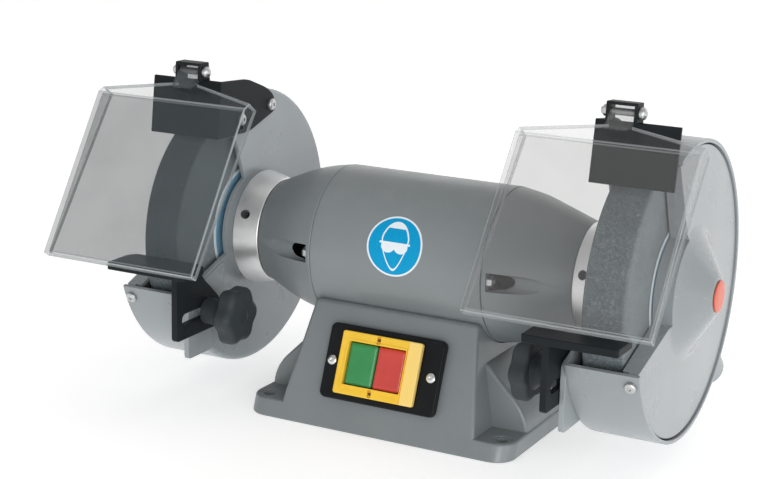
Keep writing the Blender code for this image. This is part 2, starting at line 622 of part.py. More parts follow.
def build_eye_shields(clear_plastic):
    """A folded tray of clear plastic, drawn upright about its hinge pin."""
    half_width, height, sheet = 0.06825, 0.1368, 0.0025
    crease = Vector((-0.016, -0.032))                 # y, z of the fold at the face's top edge
    gable = Vector((16.0, 22.0)).normalized()         # the roof slopes back and up from it
    end_rise, middle_rise, lug_half = 0.008, 0.0265, 0.0085
    foot = crease.y - height
    builder = bmesh.new()

    def corner(x, y, z):
        return builder.verts.new((x, y, z))

    top, bottom, roof, back_top, back_foot, peak = {}, {}, {}, {}, {}, {}
    for sign in (-1, 1):
        x = sign * half_width
        top[sign] = corner(x, crease.x, crease.y)
        bottom[sign] = corner(x, crease.x, foot)
        roof[sign] = corner(x, crease.x + gable.x * end_rise, crease.y + gable.y * end_rise)
        back_top[sign] = corner(x, crease.x + 0.0170, crease.y + 0.0055)
        back_foot[sign] = corner(x, crease.x + 0.008, foot)
        peak[sign] = corner(sign * lug_half, crease.x + gable.x * middle_rise,
                            crease.y + gable.y * middle_rise)
    builder.faces.new((top[-1], bottom[-1], bottom[1], top[1]))
    builder.faces.new((bottom[-1], back_foot[-1], back_foot[1], bottom[1]))
    builder.faces.new((top[-1], top[1], roof[1], peak[1], peak[-1], roof[-1]))
    for sign in (-1, 1):
        ring = (top[sign], roof[sign], back_top[sign], back_foot[sign], bottom[sign])
        builder.faces.new(ring if sign < 0 else tuple(reversed(ring)))
    tray = make_object("tray", builder)
    solid = tray.modifiers.new("sheet", "SOLIDIFY")
    solid.thickness = sheet
    solid.offset = -1.0
    solid.use_even_offset = True
    tray_mesh = bpy.data.meshes.new_from_object(tray.evaluated_get(bpy.context.evaluated_depsgraph_get()))
    bpy.data.objects.remove(tray, do_unlink=True)

    lug = [(0.0045, 0.0)] + arc(0.0045, 0.0, 180.0, 8)[1:] + [(-0.0075, -0.0155), (-0.0040, -0.0185),
                                                             (0.0015, -0.0120)]
    for side in (-1, 1):
        shield = bpy.data.objects.new("eye_shield_" + SIDE_NAME[side], tray_mesh.copy())
        bpy.context.scene.collection.objects.link(shield)
        join(shield, prism("lug", lug, -lug_half, lug_half, "X"))
        cut(shield, rod("hole", (-0.02, 0.0, 0.0), (0.02, 0.0, 0.0), 0.0028, 12))
        hinge = raised((from_pivot(HINGE_AT, ARRESTOR_LIFT[side]),))[0]
        shield.location = (CLIP_X[side], *hinge)
        shield.rotation_euler = (-math.radians(SHIELD_TILT[side]), 0.0, 0.0)
        dressed(shield, clear_plastic)


# ---------------------------------------------------------------- tool rests
def build_tool_rests(black, knob_black):
    stud = raised((STUD_AT,))[0]
    web = [(-0.127, -0.0145), (-0.096, -0.0145), (-0.0885, -0.025), (-0.066, -0.0445),
           (-0.066, -0.0675), (-0.127, -0.0675)]
    slot_y = (-0.1150, -0.0745)
    slot_half = 0.0045
    slot = arc(slot_half, 90.0, 270.0, 6, (slot_y[0], STUD_AT[1]))
    slot += arc(slot_half, -90.0, 90.0, 6, (slot_y[1], STUD_AT[1]))
    table = [(0.1390, -0.136), (0.2105, -0.136), (0.2105, -0.108), (0.2060, -0.102),
             (0.1460, -0.102), (0.1390, -0.108)]
    for side in (-1, 1):
        rest = prism("tool_rest_" + SIDE_NAME[side], table,
                     SHAFT_HEIGHT + REST_TOP - 0.006, SHAFT_HEIGHT + REST_TOP, "Z")
        join(rest, prism("web", raised(web), 0.1515, 0.1565, "X"))
        cut(rest, prism("slot", raised(slot), 0.14, 0.17, "X"))
        dressed(mirrored(rest, side), black)

        lobes = []
        for step in range(36):
            turn = math.radians(step * 10.0)
            radius = 0.0214 + 0.0022 * math.cos(6.0 * turn)
            lobes.append((stud[0] + radius * math.cos(turn), stud[1] + radius * math.sin(turn)))
        knob = prism("rest_knob_" + SIDE_NAME[side], lobes, 0.1170, 0.1315, "X")
        neck = [(0.1310, 0.0), (0.1310, 0.0150), (0.1350, 0.0105), (0.1512, 0.0105), (0.1512, 0.0)]
        join(knob, turned("neck", neck, 16, stud))
        cut(knob, rod("bore", (0.1385, *stud), (0.1600, *stud), 0.0042, 12))
        mirrored(knob, side)
        origin_at(dressed(knob, knob_black), (side * 0.1245, *stud))


# ---------------------------------------------------------------- assembly
def build():
    clear_scene()
    grey_paint = finish_material("grey_paint", (0.23, 0.25, 0.26), 0.42)
    guard_paint = finish_material("guard_paint", (0.30, 0.33, 0.35), 0.42)
    black_steel = finish_material("black_steel", (0.018, 0.020, 0.023), 0.45)
    zinc = finish_material("zinc_steel", (0.60, 0.61, 0.60), 0.30, 1.0)
    satin = finish_material("satin_aluminium", (0.70, 0.70, 0.69), 0.32, 1.0)
    core_steel = finish_material("lamination_steel", (0.20, 0.20, 0.21), 0.50, 1.0)
    copper = finish_material("copper_winding", (0.55, 0.22, 0.09), 0.40, 1.0)
    abrasive = finish_material("abrasive", (0.15, 0.19, 0.22), 0.95)
    paper = finish_material("blotter_paper", (0.45, 0.62, 0.72), 0.85)
    black_plastic = finish_material("black_plastic", (0.020, 0.022, 0.025), 0.38)
    clear_plastic = finish_material("clear_plastic", (0.75, 0.78, 0.79), 0.08, 0.0, 0.30)
    yellow = finish_material("yellow_plastic", (0.90, 0.55, 0.05), 0.35)
    green = finish_material("green_plastic", (0.05, 0.30, 0.09), 0.30)
    red = finish_material("red_plastic", (0.68, 0.08, 0.07), 0.30)
    orange = finish_material("orange_plastic", (0.85, 0.19, 0.08), 0.35)

    build_base(grey_paint)
    build_base_cover(zinc)
    build_capacitor(black_plastic)
    build_switch(black_plastic, yellow, green, red, black_plastic, zinc)
    build_stator(grey_paint, core_steel, copper)
    build_tie_bolts(zinc)
    build_end_shields(grey_paint)
    build_bearings(zinc)
    build_hub_rings(satin)
    build_rotor(zinc, core_steel)
    build_wheels(abrasive, paper, zinc, zinc)
    build_guards(guard_paint)
    build_guard_covers(guard_paint, orange, zinc)
    build_arrestors(black_steel, zinc)
    build_clips(black_steel, zinc)
    build_eye_shields(clear_plastic)
    build_tool_rests(black_steel, black_plastic)
    bpy.context.view_layer.update()


build()
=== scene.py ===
"""Looks of a double-ended bench grinder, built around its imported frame.

+X runs along the shaft to the right-hand wheel, -Y faces the operator and +Z is up, in metres.
"""
import math

import bmesh
import bpy
from mathutils import Matrix, Vector


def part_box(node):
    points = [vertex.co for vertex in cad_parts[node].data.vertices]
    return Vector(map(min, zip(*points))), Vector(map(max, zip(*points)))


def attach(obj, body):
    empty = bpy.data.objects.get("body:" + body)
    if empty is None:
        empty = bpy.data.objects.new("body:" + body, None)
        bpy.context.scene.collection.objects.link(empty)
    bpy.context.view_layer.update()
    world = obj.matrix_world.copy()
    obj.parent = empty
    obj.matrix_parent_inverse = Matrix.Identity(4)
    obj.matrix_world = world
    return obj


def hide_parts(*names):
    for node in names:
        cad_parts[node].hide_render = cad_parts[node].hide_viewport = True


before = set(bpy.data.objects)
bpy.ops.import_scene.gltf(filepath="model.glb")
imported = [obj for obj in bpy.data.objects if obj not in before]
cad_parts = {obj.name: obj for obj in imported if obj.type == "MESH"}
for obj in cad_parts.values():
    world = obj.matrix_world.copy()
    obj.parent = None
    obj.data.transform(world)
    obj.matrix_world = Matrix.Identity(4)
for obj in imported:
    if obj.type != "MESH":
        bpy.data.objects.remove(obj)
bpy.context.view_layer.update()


# ================================================================ bench, light and camera
# The grinder stands on a plain white sweep under wide soft lamps.
# The camera looks down on the front and the right-hand end from a little over a metre away.
class Tap:
    """A value somewhere in a finish; arithmetic on it adds the shader's own maths."""

    def __init__(self, finish, socket):
        self.finish = finish
        self.socket = socket

    def maths(self, kind, first, second=0.0):
        return self.finish.node("ShaderNodeMath", {"operation": kind}, {0: first, 1: second})

    def __add__(self, other):
        return self.maths("ADD", self, other)

    def __radd__(self, other):
        return self.maths("ADD", other, self)

    def __sub__(self, other):
        return self.maths("SUBTRACT", self, other)

    def __rsub__(self, other):
        return self.maths("SUBTRACT", other, self)

    def __mul__(self, other):
        return self.maths("MULTIPLY", self, other)

    def __rmul__(self, other):
        return self.maths("MULTIPLY", other, self)

    def __truediv__(self, other):
        return self.maths("DIVIDE", self, other)

    def __pow__(self, other):
        return self.maths("POWER", self, other)

    def __lt__(self, other):
        return self.maths("LESS_THAN", self, other)

    def __gt__(self, other):
        return self.maths("GREATER_THAN", self, other)

    def __abs__(self):
        return self.maths("ABSOLUTE", self)

    def axis(self, index):
        return self.finish.node("ShaderNodeSeparateXYZ", {}, {0: self}, output=index)


class Finish:
    """One material: a principled surface with whatever feeds it."""

    def __init__(self, name, **fixed):
        self.material = bpy.data.materials.new(name)
        self.material.use_nodes = True
        self.tree = self.material.node_tree
        self.surface = self.tree.nodes["Principled BSDF"]
        for word, value in fixed.items():
            self.surface.inputs[word.replace("_", " ").title().replace("Ior", "IOR")].default_value = value

    def node(self, kind, settings=None, sockets=None, output=0):
        made = self.tree.nodes.new(kind)
        for word, value in (settings or {}).items():
            if word == "stops":
                stops = made.color_ramp.elements
                stops[0].position, stops[0].color = value[0][0], (*value[0][1], 1.0)
                stops[1].position, stops[1].color = value[-1][0], (*value[-1][1], 1.0)
                for place, colour in value[1:-1]:
                    stops.new(place).color = (*colour, 1.0)
            else:
                setattr(made, word, value)
        for word, value in (sockets or {}).items():
            if isinstance(value, Tap):
                self.tree.links.new(value.socket, made.inputs[word])
            else:
                made.inputs[word].default_value = value
        return Tap(self, made.outputs[output])

    def places(self):
        return self.node("ShaderNodeTexCoord", output="Object")

    def noise(self, scale, detail=2.0, rough=0.5, places=None):
        places = places or self.places()
        return self.node("ShaderNodeTexNoise", {}, {"Vector": places, "Scale": scale, "Detail": detail,
                                                   "Roughness": rough})

    def stretched(self, scale, turn=(0.0, 0.0, 0.0), shift=(0.0, 0.0, 0.0)):
        """The piece's own places, shifted, turned and scaled for a pattern that runs one way."""
        return self.node("ShaderNodeMapping", {}, {"Vector": self.places(), "Scale": scale, "Rotation": turn,
                                                  "Location": shift})

    def facing(self, index):
        return self.node("ShaderNodeNewGeometry", output="Normal").axis(index)

    def spread(self, value, low, high, to_low=0.0, to_high=1.0):
        """Stretches low..high of a value to another range and holds it there."""
        return self.node("ShaderNodeMapRange", {"clamp": True},
                         {0: value, 1: low, 2: high, 3: to_low, 4: to_high})

    def mixed(self, share, first, second):
        sockets = {0: share}
        for index, colour in ((6, first), (7, second)):
            sockets[index] = colour if isinstance(colour, Tap) else (*colour, 1.0)
        return self.node("ShaderNodeMix", {"data_type": "RGBA"}, sockets, output=2)

    def bump(self, height, distance, strength=1.0):
        return self.node("ShaderNodeBump", {}, {"Height": height, "Distance": distance, "Strength": strength})

    def feed(self, **taps):
        for word, tap in taps.items():
            self.tree.links.new(tap.socket, self.surface.inputs[word.replace("_", " ").title()])
        return self


def made_of(name, builder):
    """Turns a mesh under construction into an object."""
    bmesh.ops.recalc_face_normals(builder, faces=builder.faces)
    mesh = bpy.data.meshes.new(name)
    builder.to_mesh(mesh)
    builder.free()
    made = bpy.data.objects.new(name, mesh)
    bpy.context.scene.collection.objects.link(made)
    return made


SWEEP_HALF, SWEEP_BACK, SWEEP_RADIUS, SWEEP_HEIGHT = 9.0, 6.0, 2.5, 7.0
sweep_line = [(-SWEEP_HALF, 0.0)]
for step in range(13):
    angle = math.radians(-90.0 + 90.0 * step / 12)
    sweep_line.append((SWEEP_BACK + SWEEP_RADIUS * math.cos(angle), SWEEP_RADIUS * (1.0 + math.sin(angle))))
sweep_line.append((SWEEP_BACK + SWEEP_RADIUS, SWEEP_HEIGHT))
sweep_mesh = bmesh.new()
sweep_rows = [[sweep_mesh.verts.new((x, y, z)) for x in (-SWEEP_HALF, SWEEP_HALF)] for y, z in sweep_line]
for row, after in zip(sweep_rows, sweep_rows[1:]):
    sweep_mesh.faces.new((row[0], row[1], after[1], after[0]))
sweep = made_of("studio_sweep", sweep_mesh)
if sweep.data.polygons[0].normal.z < 0.0:
    sweep.data.flip_normals()
sweep.data.shade_smooth()
SWEEP_GLOW = 0.48
sweep_paper = Finish("sweep_paper", roughness=0.9, emission_strength=SWEEP_GLOW)
sweep_tone = sweep_paper.mixed(sweep_paper.noise(3.0, 3.0), (0.93, 0.93, 0.93), (0.96, 0.96, 0.955))
sweep_paper.feed(base_color=sweep_tone, emission_color=sweep_tone)
sweep.data.materials.append(sweep_paper.material)

world = bpy.data.worlds.new("studio")
world.use_nodes = True
sky = world.node_tree.nodes["Background"]
sky.inputs["Strength"].default_value = 1.0
sky_way = world.node_tree.nodes.new("ShaderNodeTexCoord")
sky_height = world.node_tree.nodes.new("ShaderNodeSeparateXYZ")
sky_shade = world.node_tree.nodes.new("ShaderNodeMapRange")
for socket, value in (("From Min", 0.0), ("From Max", 1.0), ("To Min", 0.80), ("To Max", 0.36)):
    sky_shade.inputs[socket].default_value = value
world.node_tree.links.new(sky_way.outputs["Generated"], sky_height.inputs[0])
world.node_tree.links.new(sky_height.outputs["Z"], sky_shade.inputs["Value"])
world.node_tree.links.new(sky_shade.outputs[0], sky.inputs["Color"])
bpy.context.scene.world = world
bpy.context.scene.view_settings.view_transform = "Standard"

LAMP_TARGET = (0.0, 0.0, 0.12)
LAMPS = (
    ("front", (1.35, -2.05, 0.36), 1.1, 20.5),
    ("right_fill", (2.2, -0.7, 0.50), 1.2, 7.5),
    ("overhead", (0.2, 0.2, 2.4), 1.8, 3.5),
)
for lamp_name, lamp_at, lamp_size, lamp_watts in LAMPS:
    lamp = bpy.data.lights.new(lamp_name, "AREA")
    lamp.shape = "DISK"
    lamp.size = lamp_size
    lamp.energy = lamp_watts
    lamp_object = bpy.data.objects.new(lamp_name, lamp)
    lamp_object.location = lamp_at
    aim = Vector(lamp_at) - Vector(LAMP_TARGET)
    lamp_object.rotation_euler = aim.to_track_quat("Z", "Y").to_euler()
    bpy.context.scene.collection.objects.link(lamp_object)

SENSOR_WIDTH, FOCAL_LENGTH = 36.0, 83.06
CAMERA_AT = (0.5926, -1.2163, 0.4769)
CAMERA_TURN, CAMERA_DIP, CAMERA_ROLL = (math.radians(value) for value in (27.438, 14.118, 1.4905))
back = Vector((math.sin(CAMERA_TURN) * math.cos(CAMERA_DIP), -math.cos(CAMERA_TURN) * math.cos(CAMERA_DIP),
               math.sin(CAMERA_DIP)))
level = Vector((math.cos(CAMERA_TURN), math.sin(CAMERA_TURN), 0.0))
upright = back.cross(level)
rolled_right = level * math.cos(CAMERA_ROLL) + upright * math.sin(CAMERA_ROLL)
rolled_up = upright * math.cos(CAMERA_ROLL) - level * math.sin(CAMERA_ROLL)
lens = bpy.data.cameras.new("camera")
lens.sensor_width, lens.lens = SENSOR_WIDTH, FOCAL_LENGTH
camera = bpy.data.objects.new("camera", lens)
camera.matrix_world = (Matrix.Translation(CAMERA_AT)
                       @ Matrix((rolled_right, rolled_up, back)).transposed().to_4x4())
bpy.context.scene.collection.objects.link(camera)
bpy.context.scene.camera = camera


# ================================================================ base casting
# A hollow iron block on a flanged foot, with a lug for a bench bolt at each corner.
# Cast in sand, fettled, and sprayed with grey enamel; the flanks flare out into the lugs.
GAP = 0.0003
shaft_low, shaft_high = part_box("shaft")
SHAFT_HEIGHT = (shaft_low.z + shaft_high.z) / 2.0
SIDES = ((-1, "left"), (1, "right"))


def arc(radius, start, end, steps, centre=(0.0, 0.0)):
    """Points of an arc, angles in degrees, both ends included."""
    turns = [math.radians(start + (end - start) * step / steps) for step in range(steps + 1)]
    return [(centre[0] + radius * math.cos(turn), centre[1] + radius * math.sin(turn)) for turn in turns]


def raised(points):
    """Moves (y, z) points measured from the shaft axis to heights above the bench."""
    return [(y, z + SHAFT_HEIGHT) for y, z in points]


def eased(points, setback, steps=4, closed=True):
    """Rounds an outline's corners; the curve starts the setback's length before each corner."""
    count, out = len(points), []
    for index, point in enumerate(points):
        here = Vector(point[:2])
        amount = point[2] if len(point) > 2 else setback
        if not closed and index in (0, count - 1) or amount <= 0.0:
            out.append(tuple(here))
            continue
        before, after = Vector(points[index - 1][:2]) - here, Vector(points[(index + 1) % count][:2]) - here
        reach = min(amount, before.length * 0.48, after.length * 0.48)
        start, end = here + before.normalized() * reach, here + after.normalized() * reach
        for step in range(steps + 1):
            share = step / steps
            out.append(tuple(start * (1 - share) ** 2 + here * 2 * share * (1 - share) + end * share ** 2))
    return out


def rounded_rectangle(half_a, half_b, radius, steps=6, centre=(0.0, 0.0)):
    points = []
    for sign_a, sign_b, start in ((1, 1, 0), (-1, 1, 90), (-1, -1, 180), (1, -1, 270)):
        corner = (centre[0] + sign_a * (half_a - radius), centre[1] + sign_b * (half_b - radius))
        points += arc(radius, start, start + 90, steps, corner)
    return points


def settled(piece):
    """Replaces a piece's mesh by what its modifiers make of it."""
    made = bpy.data.meshes.new_from_object(piece.evaluated_get(bpy.context.evaluated_depsgraph_get()))
    piece.modifiers.clear()
    old = piece.data
    piece.data = made
    bpy.data.meshes.remove(old)
    return piece


def bevelled(piece, width, steps=3, angle=30.0):
    """Rounds every edge that turns by more than the angle."""
    if width > 0.0:
        edge = piece.modifiers.new("edge", "BEVEL")
        edge.width = width
        edge.segments = steps
        edge.limit_method = "ANGLE"
        edge.angle_limit = math.radians(angle)
        settled(piece)
    return piece


def closed_skin(name, loops):
    """Joins loops of points, each as long as the next, and closes both ends with a flat face."""
    builder = bmesh.new()
    rings = [[builder.verts.new(point) for point in loop] for loop in loops]
    for lower, upper in zip(rings, rings[1:]):
        for index in range(len(lower)):
            after = (index + 1) % len(lower)
            builder.faces.new((lower[index], lower[after], upper[after], upper[index]))
    builder.faces.new(rings[0][::-1])
    builder.faces.new(rings[-1])
    return made_of(name, builder)


def prism(name, outline, low, high, axis="X", edge=0.0, taper=1.0, steps=3):
    """Extrudes an outline along an axis and rounds its rims; taper scales the far end's second coordinate."""
    place = {"X": lambda a, b, c: (c, a, b), "Y": lambda a, b, c: (a, c, b),
             "Z": lambda a, b, c: (a, b, c)}[axis]
    loops = [place(a, b, low) for a, b in outline], [place(a, b * taper, high) for a, b in outline]
    return bevelled(closed_skin(name, loops), edge, steps)


def tapered_block(name, foot, top, low, high, edge=0.0):
    """A four-sided block between a foot and a top, each (half width, half depth)."""
    corners = ((1, 1), (-1, 1), (-1, -1), (1, -1))
    levels = ((foot, low), (top, high))
    loops = [[(half_x * x, half_y * y, z) for x, y in corners] for (half_x, half_y), z in levels]
    return bevelled(closed_skin(name, loops), edge)


def rod(name, start, end, radius, segments=24, edge=0.0):
    """A round bar between two points."""
    start, end = Vector(start), Vector(end)
    builder = bmesh.new()
    turn = (end - start).to_track_quat("Z", "Y").to_matrix().to_4x4()
    bmesh.ops.create_cone(builder, cap_ends=True, segments=segments, radius1=radius, radius2=radius,
                          depth=(end - start).length, matrix=Matrix.Translation((start + end) / 2.0) @ turn)
    return bevelled(made_of(name, builder), edge, 2, 50.0)


def worked(piece, kind, tools):
    """Joins or cuts a piece with each tool, which is used up."""
    for tool in tools:
        step = piece.modifiers.new("work", "BOOLEAN")
        step.operation = kind
        step.solver = "EXACT"
        step.object = tool
        settled(piece)
        bpy.data.objects.remove(tool, do_unlink=True)
        builder = bmesh.new()
        builder.from_mesh(piece.data)
        bmesh.ops.remove_doubles(builder, verts=builder.verts, dist=0.000004)
        bmesh.ops.dissolve_degenerate(builder, edges=builder.edges, dist=0.000004)
        builder.to_mesh(piece.data)
        builder.free()
    return piece


def join(piece, *tools):
    return worked(piece, "UNION", tools)


def cut(piece, *tools):
    return worked(piece, "DIFFERENCE", tools)


def mirrored(piece, side):
    """Turns a piece modelled for the right-hand wheel into the left-hand one."""
    if side < 0:
        piece.data.transform(Matrix.Scale(-1.0, 4, (1.0, 0.0, 0.0)))
        piece.data.flip_normals()
    return piece


def placed(piece, finish, body, nodes, crease=38.0):
    """Smooths and coats a finished piece and ties it to the frame."""
    piece.data.materials.clear()
    piece.data.materials.append(finish.material)
    piece.data.shade_smooth()
    piece.data.set_sharp_from_angle(angle=math.radians(crease))
    even = piece.modifiers.new("even", "WEIGHTED_NORMAL")
    even.keep_sharp = True
    settled(piece)
    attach(piece, body)
    if nodes:
        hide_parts(*nodes)
    return piece


def enamel(name, tone, roughness, peel):
    """Sprayed machine enamel: fine orange peel, faint clouding, a little dust lying on top faces."""
    paint = Finish(name, coat_roughness=0.22)
    clouds = paint.noise(11.0, 4.0, 0.55)
    grain = paint.noise(1500.0, 2.0)
    dark, light = [value * 0.93 for value in tone], [value * 1.06 for value in tone]
    base = paint.mixed(paint.spread(clouds, 0.3, 0.7), dark, light)
    base = paint.mixed(paint.spread(grain, 0.35, 0.65, 0.0, 0.16), base, [value * 0.72 for value in tone])
    facing = paint.facing(2)
    settle = paint.spread(facing, 0.55, 1.0) * paint.spread(paint.noise(60.0, 5.0, 0.65), 0.42, 0.75)
    base = paint.mixed(settle * 0.28, base, (0.36, 0.355, 0.34))
    rough = paint.spread(paint.noise(35.0, 4.0), 0.3, 0.7, roughness - 0.05, roughness + 0.06) + settle * 0.15
    skin = paint.noise(650.0, 2.0) * peel + paint.noise(90.0, 2.0) * peel * 1.5
    paint.feed(base_color=base, roughness=rough, normal=paint.bump(skin, 0.00018))
    paint.surface.inputs["Coat Weight"].default_value = 0.25
    return paint


PANEL_SLOPE = 0.38
base_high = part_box("base_casting")[1]
HALF_WIDTH, HALF_DEPTH = base_high.x, base_high.y
LUG_HEIGHT, BLOCK_TOP, BLOCK_FOOT_HALF, BLOCK_TOP_HALF = 0.0135, 0.092, 0.085, 0.070
SWITCH_HEIGHT = 0.0534
housing_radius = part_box("stator_housing")[1].y
base_grey = enamel("base_enamel", (0.196, 0.219, 0.226), 0.40, 0.5)

lean = math.atan(PANEL_SLOPE)
panel = Matrix((Vector((1.0, 0.0, 0.0)), Vector((0.0, math.sin(lean), math.cos(lean))),
                Vector((0.0, -math.cos(lean), math.sin(lean))))).transposed().to_4x4()
panel.translation = (0.0, -HALF_DEPTH, 0.0)


def on_panel(piece):
    """Moves a piece drawn as (across, up the panel, out of it) onto the sloping front."""
    piece.data.transform(panel)
    return piece


base = tapered_block("base_block", (BLOCK_FOOT_HALF, HALF_DEPTH),
                     (BLOCK_TOP_HALF, HALF_DEPTH - PANEL_SLOPE * BLOCK_TOP), 0.0, BLOCK_TOP, 0.0030)
foot = prism("foot", rounded_rectangle(HALF_WIDTH, HALF_DEPTH, 0.017, 8), 0.0, LUG_HEIGHT, "Z", 0.0016,
             1.0 - PANEL_SLOPE * LUG_HEIGHT / HALF_DEPTH)
flank = eased([(0.055, 0.001), (0.1115, 0.001), (0.1115, 0.0190), (0.1050, 0.0330), (0.0880, 0.0500),
               (0.0730, 0.0650), (0.055, 0.0650)], 0.009, 5)
join(base, foot)
for side, word in SIDES:
    join(base, mirrored(prism("gusset", flank, -0.049, 0.049, "Y", 0.0030), side))
cut(base, tapered_block("cavity", (0.074, 0.074), (0.060, 0.043), 0.002, 0.085),
    prism("rebate", rounded_rectangle(0.079, 0.079, 0.004), -0.01, 0.0023, "Z"),
    rod("saddle", (-0.12, 0.0, SHAFT_HEIGHT), (0.12, 0.0, SHAFT_HEIGHT), housing_radius + GAP, 128))
for x in (-0.101, 0.101):
    for y in (-0.0715, 0.0715):
        cut(base, rod("spot_face", (x, y, LUG_HEIGHT - 0.0006), (x, y, 0.02), 0.0082, 32),
            rod("hole", (x, y, -0.01), (x, y, 0.03), 0.0045, 24))
OPENING = (-0.003, SWITCH_HEIGHT)
window = rounded_rectangle(0.0255, 0.0185, 0.002, 4, OPENING)
cut(base, on_panel(prism("window", window, -0.030, 0.010, "Z")))
placed(base, base_grey, "frame", ["base_casting"])


# ================================================================ base cover and capacitor
# A pressed zinc plate screws into the rebate underneath and closes the wiring space.
# The motor's run capacitor, a black moulded can, lies inside the base.
def plated(name, tone=(0.62, 0.63, 0.63), roughness=0.30):
    """Bright zinc plate: clouded crystals, fine handling scratches and a few dull spots."""
    zinc = Finish(name, metallic=1.0)
    clouds = zinc.spread(zinc.noise(420.0, 5.0, 0.6), 0.3, 0.7)
    streaks = zinc.stretched((400.0, 4000.0, 900.0))
    scratch = zinc.noise(1.0, 2.0, 0.6, streaks)
    base_tone = zinc.mixed(clouds, [value * 0.80 for value in tone], tone)
    rough = zinc.spread(scratch, 0.3, 0.7, roughness - 0.08, roughness + 0.12) + clouds * 0.08
    zinc.feed(base_color=base_tone, roughness=rough, normal=zinc.bump(scratch + clouds * 0.5, 0.00004))
    return zinc


def moulded(name, tone, roughness=0.38, bump=0.5, shine=0.16):
    """Injection-moulded plastic with a spark-eroded texture; random patches are made a little rougher and
    painted lighter, a painted sheen standing in for shine on rubbed parts.
    """
    plastic = Finish(name, specular_ior_level=shine)
    grain = plastic.noise(1900.0, 3.0, 0.6)
    rubbed_and_sheen = plastic.spread(plastic.noise(48.0, 3.0), 0.35, 0.7)
    light = [value * 1.18 + 0.004 for value in tone]
    # Painted sheen: the random patches lighten the colour towards the lighter tone.
    colour = plastic.mixed(rubbed_and_sheen * 0.6 + plastic.spread(grain, 0.4, 0.7, 0.0, 0.35), tone, light)
    rough = roughness + rubbed_and_sheen * 0.10 + plastic.spread(grain, 0.3, 0.7, -0.04, 0.05)
    plastic.feed(base_color=colour, roughness=rough, normal=plastic.bump(grain * bump, 0.00006))
    return plastic


def refinished(finish, *nodes):
    for node in nodes:
        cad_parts[node].material_slots[0].material = finish.material


refinished(plated("cover_zinc", roughness=0.36), "base_cover")
refinished(moulded("capacitor_black", (0.020, 0.021, 0.023), 0.45), "capacitor")


# ================================================================ switch
# A no-volt-release push switch: black face plate, yellow surround with a hinged strip painted lighter as a
# highlight, and green start and red stop buttons. Two chromed screws hold the plate.
plate_black = moulded("switch_black", (0.006, 0.007, 0.008), 0.33)
PLATE_MIDDLE, FRAME_MIDDLE = (0.001, SWITCH_HEIGHT), (-0.0005, SWITCH_HEIGHT)
PLATE_TOP, FRAME_TOP = 0.007, 0.012
plate_line = rounded_rectangle(0.049, 0.0292, 0.005, 8, PLATE_MIDDLE)
plate = prism("switch_face_plate", plate_line, GAP, PLATE_TOP, "Z", 0.0012)
cut(plate, prism("hole", window, -0.01, 0.02, "Z"))
SCREW_X = (-0.0412, 0.0434)
for x in SCREW_X:
    cut(plate, rod("hole", (x, SWITCH_HEIGHT, -0.01), (x, SWITCH_HEIGHT, 0.02), 0.0023, 16))
placed(on_panel(plate), plate_black, "frame", ["switch_plate"])

surround_yellow = Finish("surround_yellow", specular_ior_level=0.3)
across = surround_yellow.places().axis(0)
# Painted highlight: the strip right of the groove is coloured a lighter yellow where it faces the light.
strip = across > 0.0225
yellow_grain = surround_yellow.noise(1700.0, 2.0)
yellow_cloud = surround_yellow.noise(70.0, 3.0)
yellow = surround_yellow.mixed(surround_yellow.spread(yellow_cloud, 0.3, 0.7), (0.88, 0.53, 0.035),
                               (0.95, 0.61, 0.06))
# The strip gets the lighter yellow, a painted highlight rather than a different plastic.
yellow = surround_yellow.mixed(strip, yellow, (0.96, 0.68, 0.20))
surround_yellow.feed(base_color=yellow, roughness=surround_yellow.spread(yellow_cloud, 0.3, 0.7, 0.30, 0.42),
                     normal=surround_yellow.bump(yellow_grain * 0.5, 0.00005))
well = rounded_rectangle(0.0245, 0.0168, 0.001, 3, OPENING)
surround = prism("switch_surround", rounded_rectangle(0.034, 0.0243, 0.0018, 4, FRAME_MIDDLE),
                 PLATE_TOP + GAP, FRAME_TOP, "Z", 0.0009)
cut(surround, prism("hole", well, 0.0, 0.02, "Z"))
rim_line = rounded_rectangle(0.0262, 0.0185, 0.0020, 4, OPENING)
rim = prism("rim", rim_line, 0.010, FRAME_TOP + 0.0006, "Z", 0.0003)
cut(rim, prism("hole", well, 0.0, 0.02, "Z"))
join(surround, rim)
for y in (-0.0205, 0.0205):
    notch = rounded_rectangle(0.0016, 0.0030, 0.0008, 3, (OPENING[0], SWITCH_HEIGHT + y))
    cut(surround, prism("notch", notch, 0.0100, 0.02, "Z"))
cut(surround,
    prism("groove", rounded_rectangle(0.00035, 0.03, 0.0001, 1, (0.0225, SWITCH_HEIGHT)), 0.0115, 0.02, "Z"))
placed(on_panel(surround), surround_yellow, "frame", ["switch_frame"])

catch = None
for y in (-0.0207, 0.0207):
    pin_at = (OPENING[0], SWITCH_HEIGHT + y)
    pin = rod("catch_pins", (*pin_at, 0.0095), (*pin_at, 0.0122), 0.0010, 16, 0.0003)
    catch = join(catch, pin) if catch else pin
placed(on_panel(catch), moulded("catch_brown", (0.10, 0.055, 0.03), 0.4), "frame", [])
refinished(moulded("switch_body_black", (0.016, 0.017, 0.019)), "switch_body")


def pillow(name, half_a, half_b, radius, centre, low, high, crown, steps=7):
    """A cushion-topped block: straight sides, then a crown that rises towards the middle."""
    rings = [(0.0, low), (0.0, high - crown)]
    for step in range(1, steps + 1):
        turn = math.radians(90.0 * step / steps)
        rings.append(((1.0 - math.cos(turn)) * radius * 2.2, high - crown + crown * math.sin(turn)))
    loops = []
    for inset, height in rings:
        corner = max(radius - inset * 0.4, 0.0004)
        outline = rounded_rectangle(half_a - inset, half_b - inset, corner, 5, centre)
        loops.append([(a, b, height) for a, b in outline])
    return closed_skin(name, loops)


